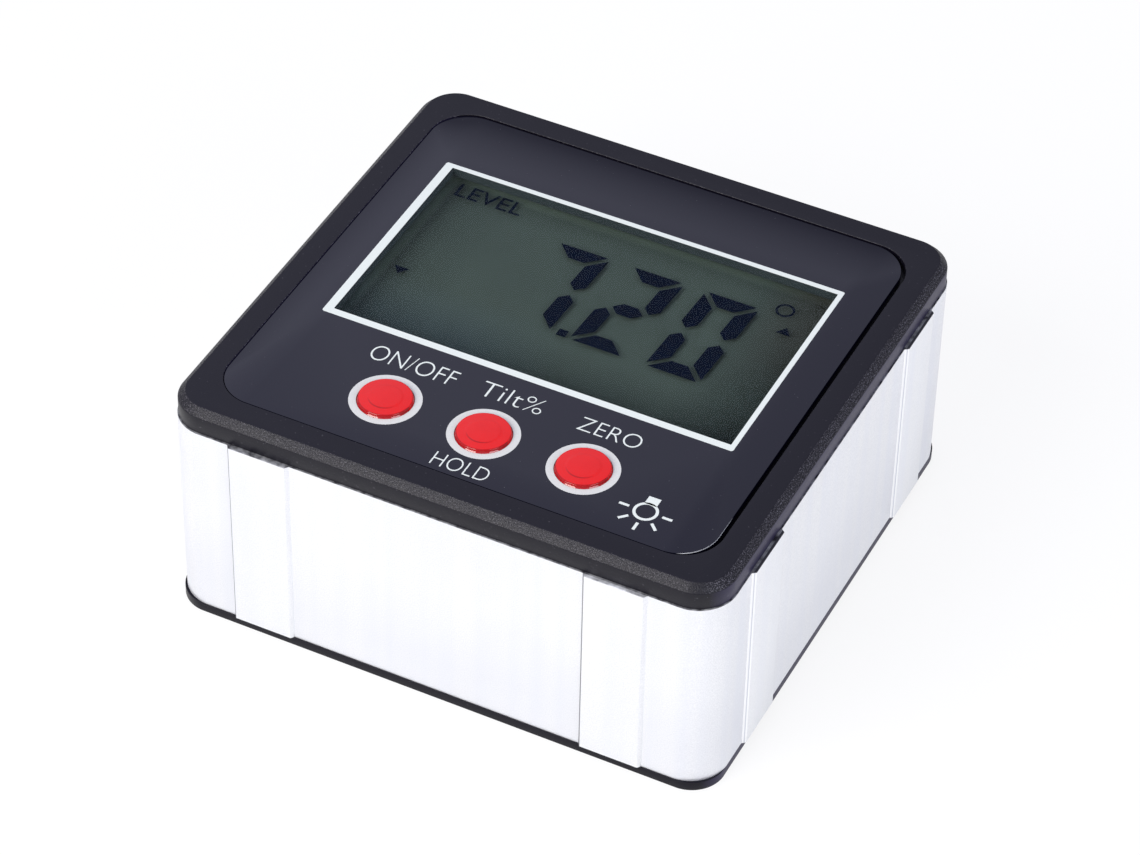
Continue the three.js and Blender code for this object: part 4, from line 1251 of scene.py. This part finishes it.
# %% Key caps
CAP_RADIUS = 2.74
CAP_EDGE = 0.12
CAP_EDGE_STEPS = 5
CAP_CROWN = 0.07
FLANGE_HEIGHT = 0.8
MIDDLE_RADIUS = 1.7
MIDDLE_SLOPE = 0.30
MIDDLE_RISE = 0.018
FOOT_RADIUS = 2.85
FOOT_START = -0.05  # from the panel's face
FOOT_HEIGHT = 0.14
TOP_STEPS = 42
TURN_STEPS = 72
CAP_SMOOTH = 30  # degrees, so that the foot keeps its own shine


def eased(value):
    """A value held between 0 and 1 and smoothed at both ends."""
    held = min(1, max(0, value))
    return held * held * (3 - 2 * held)


def cap_profile(low, high):
    flange = (high.x - low.x) / 2
    flange_top = low.z + FLANGE_HEIGHT
    reach = CAP_RADIUS - CAP_EDGE
    edge = high.z - CAP_CROWN - MIDDLE_RISE - CAP_EDGE
    foot = panel_high.z + FOOT_START
    profile = [(0, low.z), (flange, low.z), (flange, flange_top), (FOOT_RADIUS, flange_top)]
    profile += [(FOOT_RADIUS, foot), (CAP_RADIUS, foot + FOOT_HEIGHT)]
    for i in range(CAP_EDGE_STEPS):
        angle = math.pi / 2 * i / CAP_EDGE_STEPS
        profile.append((reach + CAP_EDGE * math.cos(angle), edge + CAP_EDGE * math.sin(angle)))
    for i in range(TOP_STEPS + 1):
        radius = reach * (1 - i / TOP_STEPS)
        lowered = eased((radius - MIDDLE_RADIUS) / MIDDLE_SLOPE + 0.5)
        profile.append((radius, high.z - CAP_CROWN * (radius / reach) ** 2 - MIDDLE_RISE * lowered))
    return profile


for key in KEYS:
    low, high = box_mm(f"{key}_cap")
    centre = key_centres[key]
    cap = spun(cap_profile(low, high), TURN_STEPS, (centre.x, centre.y, 0))
    place(cap, f"{key}_key", RED_GLOSS, f"{key}_button", [f"{key}_cap"], CAP_SMOOTH)

# %% [markdown]
# ## Back cover
#
# The cover is the second large moulding. Its lip shows as the thin black line under the tube, and its tray
# holds the cells. It is joined from a lip, a spigot, a tray and four bosses, and then the compartment, the
# door's slot with its grooves, the screw seats and the contacts' slots are cut from it.

# %% Cover: sizes
COVER_FLOOR = 2.2
LIP_EDGE = 0.04
LIP_REACH = Vector((0.08, 0.2))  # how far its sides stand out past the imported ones, as the photograph shows
LIP_CORNER = 3.6
TRAY_WALL = 1.2
MOUTH_LIP = 1.3  # floor that is left at each end of the mouth
GROOVE = 1.1  # depth of the door's grooves
GROOVE_THICKNESS = 0.5
TONGUE = 1.0  # how far the door's tongues reach into the grooves
CELL_GAP = 0.3
RIDGE_RISE = 2.2  # above the cells' axes, where the bays open to each other
GUSSET_WALL = 1.0
GUSSET_PITCH = 10.0
GUSSET_HEIGHT = 4.0
GUSSET_REACH = 11.0
GUSSET_END = 0.5
CONTACT_SLOT = 1.6  # half the width of the slot for a contact's tab
CONTACT_SEAT = 0.5
SCREW_SEAT = 2.0
SCREW_SEAT_TOP = 1.8
SCREW_CLEARANCE = 1.1

lip_top = tube_low.z
cell_low, cell_high = box_mm("battery_1")
cell_z = (cell_low.z + cell_high.z) / 2
cell_y = (cell_low.y + cell_high.y) / 2
cell_radius = (cell_high.z - cell_low.z) / 2
bridge_low, bridge_high = box_mm("contact_bridge")
tray_x = box_mm("contact_positive")[1].x
tray_y = cell_high.y + CELL_GAP
tray_roof = cell_high.z + CELL_GAP
slot_half = door_high.y - TONGUE + GAP
print("tray", [round(2 * v, 2) for v in (tray_x, tray_y)], "roof", round(tray_roof, 2))


# %% Cover: a cell's bay and a gusset
def cell_bay(side, half_x, wall, bottom, steps=36):
    """The room for one cell, or the form round it: straight sides under half a barrel."""
    middle = side * cell_y
    radius = cell_radius + CELL_GAP + wall
    turns = (math.pi * i / steps for i in range(steps + 1))
    arch = [(middle + radius * math.cos(a), cell_z + radius * math.sin(a)) for a in turns]
    outline = [(middle - radius, bottom), (middle + radius, bottom), *arch]
    return extruded(outline, -half_x, half_x, "X")


def gusset(x, side):
    """A web on the cover's floor, tall at the tray and low at its outer end."""
    root = tray_y + TRAY_WALL / 2
    end = root + GUSSET_REACH
    outline = [(root, lip_top), (end, lip_top), (end, COVER_FLOOR + GUSSET_END),
               (root, COVER_FLOOR + GUSSET_HEIGHT)]
    return extruded([(side * y, z) for y, z in outline], x - GUSSET_WALL / 2, x + GUSSET_WALL / 2, "X")


# %% Cover: the solid
def cover_lip():
    lip = bmesh.new()
    lip_half = cover_high.xy + LIP_REACH
    loops = [ring(lip, *lip_half, LIP_CORNER, z, steps=FINE_STEPS) for z in (0, lip_top)]
    skin(lip, loops)
    for loop in loops:
        bmesh.ops.edgeloop_fill(lip, edges=loop)
    soften(lip, loops[0], LIP_EDGE, 2)
    bmesh.ops.recalc_face_normals(lip, faces=lip.faces)
    return lip


def cover_solid():
    base = lip_top / 2  # joined pieces start inside the lip
    spigot = slab(*rim_half, RIM_RADIUS, base, COVER_FLOOR)
    bays = [cell_bay(side, tray_x + TRAY_WALL, TRAY_WALL, base) for side in (-1, 1)]
    gussets = [gusset(step * GUSSET_PITCH, side) for step in range(-2, 3) for side in (-1, 1)]
    posts = []
    for i in SCREWS:
        x, y, _ = screw_at(f"cover_screw_{i}")
        posts.append(post(x, y, COVER_BOSS, base, bezel_low.z))
    return join(cover_lip(), spigot, *bays, *gussets, *posts)


# %% Cover: its cuts
def door_cuts():
    """The slot that the door's leaf slides in, and the grooves for its tongues."""
    edge = cover_high.x + OVERRUN
    stop = door_high.x + GAP
    groove_low = door_high.z - GROOVE_THICKNESS - GAP / 2
    groove_half = slot_half + GROOVE - GAP / 2
    return [
        block((-edge, -slot_half, -OVERRUN), (stop, slot_half, lip_top)),
        block((-edge, -groove_half, groove_low), (stop, groove_half, lip_top)),
    ]


def tray_cuts():
    """The bays, the opening between them, and the mouth."""
    mouth_x = tray_x - MOUTH_LIP
    return [
        *(cell_bay(side, tray_x, 0, COVER_FLOOR) for side in (-1, 1)),
        block((-tray_x, -cell_y, COVER_FLOOR), (tray_x, cell_y, cell_z + RIDGE_RISE)),
        block((-mouth_x, -tray_y, -OVERRUN), (mouth_x, tray_y, COVER_FLOOR + OVERRUN)),
    ]


def contact_cuts():
    """A slot in the tray's roof for each tab, and the seats of the bridge."""
    tools = []
    for side in (-1, 1):
        y = side * cell_y
        tools.append(block((tray_x - CONTACT_SEAT, y - CONTACT_SLOT, tray_roof - OVERRUN),
                           (tray_x + GAP, y + CONTACT_SLOT, tray_roof + 3 * OVERRUN)))
        seat = sorted((side * tray_x, side * (tray_x - CONTACT_SEAT)))
        tools.append(block((seat[0], bridge_low.y - GAP, COVER_FLOOR),
                           (seat[1], bridge_high.y + GAP, bridge_high.z + GAP)))
    return tools


def screw_cuts():
    tools = []
    for i in SCREWS:
        x, y, _ = screw_at(f"cover_screw_{i}")
        tools.append(post(x, y, SCREW_SEAT, -OVERRUN, SCREW_SEAT_TOP))
        tools.append(post(x, y, SCREW_CLEARANCE, -OVERRUN, bezel_low.z + OVERRUN, BORE_STEPS))
    return tools


cover = cut(cover_solid(), *tray_cuts(), *door_cuts(), *contact_cuts(), *screw_cuts())
place(cover, "cover_moulding", COVER_MOULDING, "housing", ["back_cover"])

# %% [markdown]
# ## Battery door
#
# The door is a flat leaf with a tongue along each side that runs in the cover's grooves. Finger grooves and an
# arrow are sunk in its face. The leaf's edges are bevelled before the marks are cut, so that the bevel follows
# only the edges that a hand meets.

# %% Door: leaf, tongues and grip
GRIP_GROOVES = 6
GRIP_PITCH = 1.6
GRIP_WIDTH = 0.8
GRIP_HALF = 6.0
GRIP_DEPTH = 0.35
GRIP_START = 8.0
GRIP_FLAT = 0.02  # half of what is left straight at a groove's round end
ARROW_LENGTH = 4.0
ARROW_HALF = 3.0
ARROW_GAP = 2.5
DOOR_EDGE = 0.15


def door_solid():
    leaf = block((door_low.x, door_low.y + TONGUE, 0), (door_high.x, door_high.y - TONGUE, door_high.z))
    soften(leaf, sharp_edges(leaf, lambda p: p.z < SAME), DOOR_EDGE, 2)
    tongues = block((door_low.x, door_low.y, door_high.z - GROOVE_THICKNESS), door_high)
    start = door_low.x + GRIP_START
    half = GRIP_WIDTH / 2
    tools = []
    for i in range(GRIP_GROOVES):
        middle = (start + i * GRIP_PITCH + half, 0)
        tools.append(slab(half, GRIP_HALF, half - GRIP_FLAT, -OVERRUN, GRIP_DEPTH, middle))
    tip = start + GRIP_GROOVES * GRIP_PITCH + ARROW_GAP
    corners = ((tip, 0), (tip + ARROW_LENGTH, -ARROW_HALF), (tip + ARROW_LENGTH, ARROW_HALF))
    arrow = extruded(corners, -OVERRUN, GRIP_DEPTH)
    return cut(join(leaf, tongues), *tools, arrow)


place(door_solid(), "door_leaf", COVER_MOULDING, "battery_door", ["battery_door"])

# %% [markdown]
# ## Metal and electronics
#
# What the housing hides still has to look right when the door is open or the box comes apart. These nodes
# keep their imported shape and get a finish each. The metal ones are plated, the moulded ones have a grain, and
# the board has a solder mask with the copper's pattern just showing through.

# %% Finishes for the inner nodes
BAND_MIDDLE = 6.0  # the coloured band of a cell's jacket, along X
BAND_HALF = 14.0


def lighter(colour, gain, lift=0.0):
    return tuple(min(1, v * gain + lift) for v in colour[:3]) + (1,)


def plated(name, colour, rough):
    finish = Finish(name)
    grain = finish.noise(0.3, 3, (1, 1, 0.2))
    tint = finish.mix(colour, lighter(colour, 1.15), grain)
    return finish.surface(tint, rough + grain * 0.15, grain, 0.003, metallic=1.0)


def moulded(name, colour, rough):
    finish = Finish(name)
    grain = finish.noise(0.2, 2)
    tint = finish.mix(colour, lighter(colour, 1.2, 0.004), grain)
    return finish.surface(tint, rough + grain * 0.12, grain, 0.005)


def solder_mask():
    finish = Finish("solder_mask")
    tracks = finish.node("ShaderNodeTexVoronoi", {"distance": "MANHATTAN", "feature": "F1"},
                         {"Vector": finish.place, "Scale": 0.45})
    copper = Wire(finish, tracks.outputs[0]).above(0.42, 0.03)
    tint = finish.mix(rgb(24, 92, 58), rgb(38, 122, 78), copper)
    return finish.surface(tint, 0.30 + copper * 0.1, copper, 0.03)


def cell_jacket():
    """Blue round the cell's middle and silvery towards its ends."""
    finish = Finish("cell_jacket")
    ends = abs(finish.axis("X") - BAND_MIDDLE).above(BAND_HALF, 0.05)
    cloud = finish.noise(0.2)
    tint = finish.mix(rgb(38, 66, 120), rgb(206, 208, 212), ends)
    return finish.surface(tint, 0.24 + cloud * 0.1, cloud, 0.002, metallic=0.35)


# %% Inner nodes: which finish each one gets
NODE_FINISHES = {
    plated("nickel_plate", rgb(205, 204, 200), 0.18): (
        "contact_bridge", "contact_positive", "contact_negative", "crystal", "capacitor",
        "base_magnet_left", "base_magnet_right"),
    plated("zinc_plate", rgb(170, 172, 176), 0.28): tuple(
        f"{kind}_screw_{i}" for kind in ("cover", "board") for i in SCREWS),
    moulded("chip_black", rgb(36, 36, 38), 0.5): (
        "controller_chip", "tilt_sensor", "power_switch", "hold_switch", "zero_switch"),
    moulded("milky_plastic", rgb(226, 228, 224), 0.35): (
        "backlight_guide", "backlight_led_near", "backlight_led_far",
        "power_plunger", "hold_plunger", "zero_plunger"),
    moulded("grey_silicone", rgb(150, 150, 148), 0.6): ("elastomer_connector",),
    moulded("adhesive_sheet", rgb(214, 208, 190), 0.7): ("panel_adhesive",),
    moulded("red_insulation", rgb(170, 24, 20), 0.4): ("battery_lead_positive",),
    moulded("black_insulation", rgb(24, 24, 26), 0.4): ("battery_lead_negative",),
    moulded("dark_film", rgb(70, 78, 74), 0.35): ("lcd_rear_polariser",),
    solder_mask(): ("main_board",),
    cell_jacket(): ("battery_1", "battery_2"),
    DISPLAY_GROUND: ("lcd_rear_glass",),
}
for material, names in NODE_FINISHES.items():
    for name in names:
        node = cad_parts[name]
        node.data.materials.clear()
        node.data.materials.append(material)
print(sum(len(names) for names in NODE_FINISHES.values()), "nodes have a finish")

# %% [markdown]
# ## Stage and light
#
# A product photograph like this one is lit by large soft panels over a white table. The world is a bluish
# room, bright overhead and dim near the horizon, so that the black faces mirror little of it. A broad, warm
# lamp stands in front and to the left, and a weaker, cool one lights the right side. The floor is white to the
# camera and keeps the object's shadow.

# %% Floor
FLOOR_SIZE = 6.0
FLOOR_DROP = 0.00002
TABLE_WHITE = (0.86, 0.86, 0.87, 1)
CLEAR_WHITE = 0.85  # share of plain white that a camera sees, and the rest holds the shadow


def floor_finish():
    finish = Finish("white_table")
    seen, mirrored, through = (
        finish.wire("ShaderNodeLightPath", f"Is {ray} Ray") for ray in ("Camera", "Glossy", "Transmission"))
    white = finish.node("ShaderNodeEmission", None, {"Color": (1, 1, 1, 1), "Strength": 1.0})
    table = finish.node("ShaderNodeBsdfDiffuse", None, {"Color": TABLE_WHITE})
    share = seen.larger(mirrored).larger(through) * CLEAR_WHITE
    mixed = finish.node("ShaderNodeMixShader", None, {0: share, 1: table.outputs[0], 2: white.outputs[0]})
    finish.end(mixed.outputs[0])
    return finish.material


floor_bm = bmesh.new()
bmesh.ops.create_grid(floor_bm, x_segments=1, y_segments=1, size=FLOOR_SIZE / 2)
bmesh.ops.translate(floor_bm, vec=(0, 0, -FLOOR_DROP), verts=floor_bm.verts)
floor_mesh = bpy.data.meshes.new("floor")
floor_bm.to_mesh(floor_mesh)
floor_bm.free()
floor_mesh.materials.append(floor_finish())
floor = bpy.data.objects.new("floor", floor_mesh)
bpy.context.scene.collection.objects.link(floor)
floor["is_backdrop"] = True

# %% World
HORIZON = 0.30  # height of a direction, from 0 at the horizon to 1 overhead, up to which the room is dim
SHOULDERS = 0.56  # height from which it has its full strength
ROOM_COLOUR = (0.80, 0.82, 1.00, 1)
ROOM_STRENGTH = 1.12
DIM_STRENGTH = 0.28
BRIGHT_SIDE = -0.42  # along X, where the room is brightest
DULL_SIDE = -0.20
DULL_SHARE = 0.70


def studio_world():
    """A bluish room, dim near the horizon and towards the right, behind a backdrop that the camera sees."""
    world = bpy.data.worlds.new("studio")
    bpy.context.scene.world = world
    graph = Graph(world)
    direction = graph.node("ShaderNodeTexCoord").outputs["Generated"]
    x = graph.wire("ShaderNodeSeparateXYZ", "X", None, {0: direction})
    z = graph.wire("ShaderNodeSeparateXYZ", "Z", None, {0: direction})
    risen = z.above((HORIZON + SHOULDERS) / 2, SHOULDERS - HORIZON)
    dulled = x.above((BRIGHT_SIDE + DULL_SIDE) / 2, DULL_SIDE - BRIGHT_SIDE)
    strength = (DIM_STRENGTH + risen * (ROOM_STRENGTH - DIM_STRENGTH)) * (1 - dulled * (1 - DULL_SHARE))
    room = graph.node("ShaderNodeBackground", None, {"Color": ROOM_COLOUR, "Strength": strength})
    backdrop = graph.node("ShaderNodeBackground", None, {"Color": (1, 1, 1, 1)})
    seen = graph.wire("ShaderNodeLightPath", "Is Camera Ray")
    chosen = graph.node("ShaderNodeMixShader", None, {0: seen, 1: room.outputs[0], 2: backdrop.outputs[0]})
    graph.end(chosen.outputs[0], "ShaderNodeOutputWorld")


studio_world()

# %% Lamps
LAMP_DISTANCE = 0.7  # metres, as is each lamp's size


def panel_lamp(name, direction, size, power, colour):
    """A soft square lamp that stands off in a direction and faces the object."""
    data = bpy.data.lights.new(name, "AREA")
    data.shape = "SQUARE"
    data.size = size
    data.energy = power
    data.color = colour
    made = bpy.data.objects.new(name, data)
    aim = Vector(direction).normalized()
    turned = aim.to_track_quat("Z", "Y").to_matrix().to_4x4()
    made.matrix_world = Matrix.Translation(aim * LAMP_DISTANCE) @ turned
    bpy.context.scene.collection.objects.link(made)


panel_lamp("front_lamp", direction=(-0.33, -0.80, 0.62), size=0.42, power=4.9, colour=(1.0, 0.98, 0.925))
panel_lamp("right_lamp", direction=(1.0, -0.45, 0.50), size=0.35, power=1.75, colour=(0.89, 0.935, 1.0))
bpy.context.scene.view_settings.view_transform = "Standard"

# %% [markdown]
# ## Size of the dressed object
#
# The last call measures the box round every piece that shows, leaving out the floor.

# %% Size of the dressed object
low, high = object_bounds()
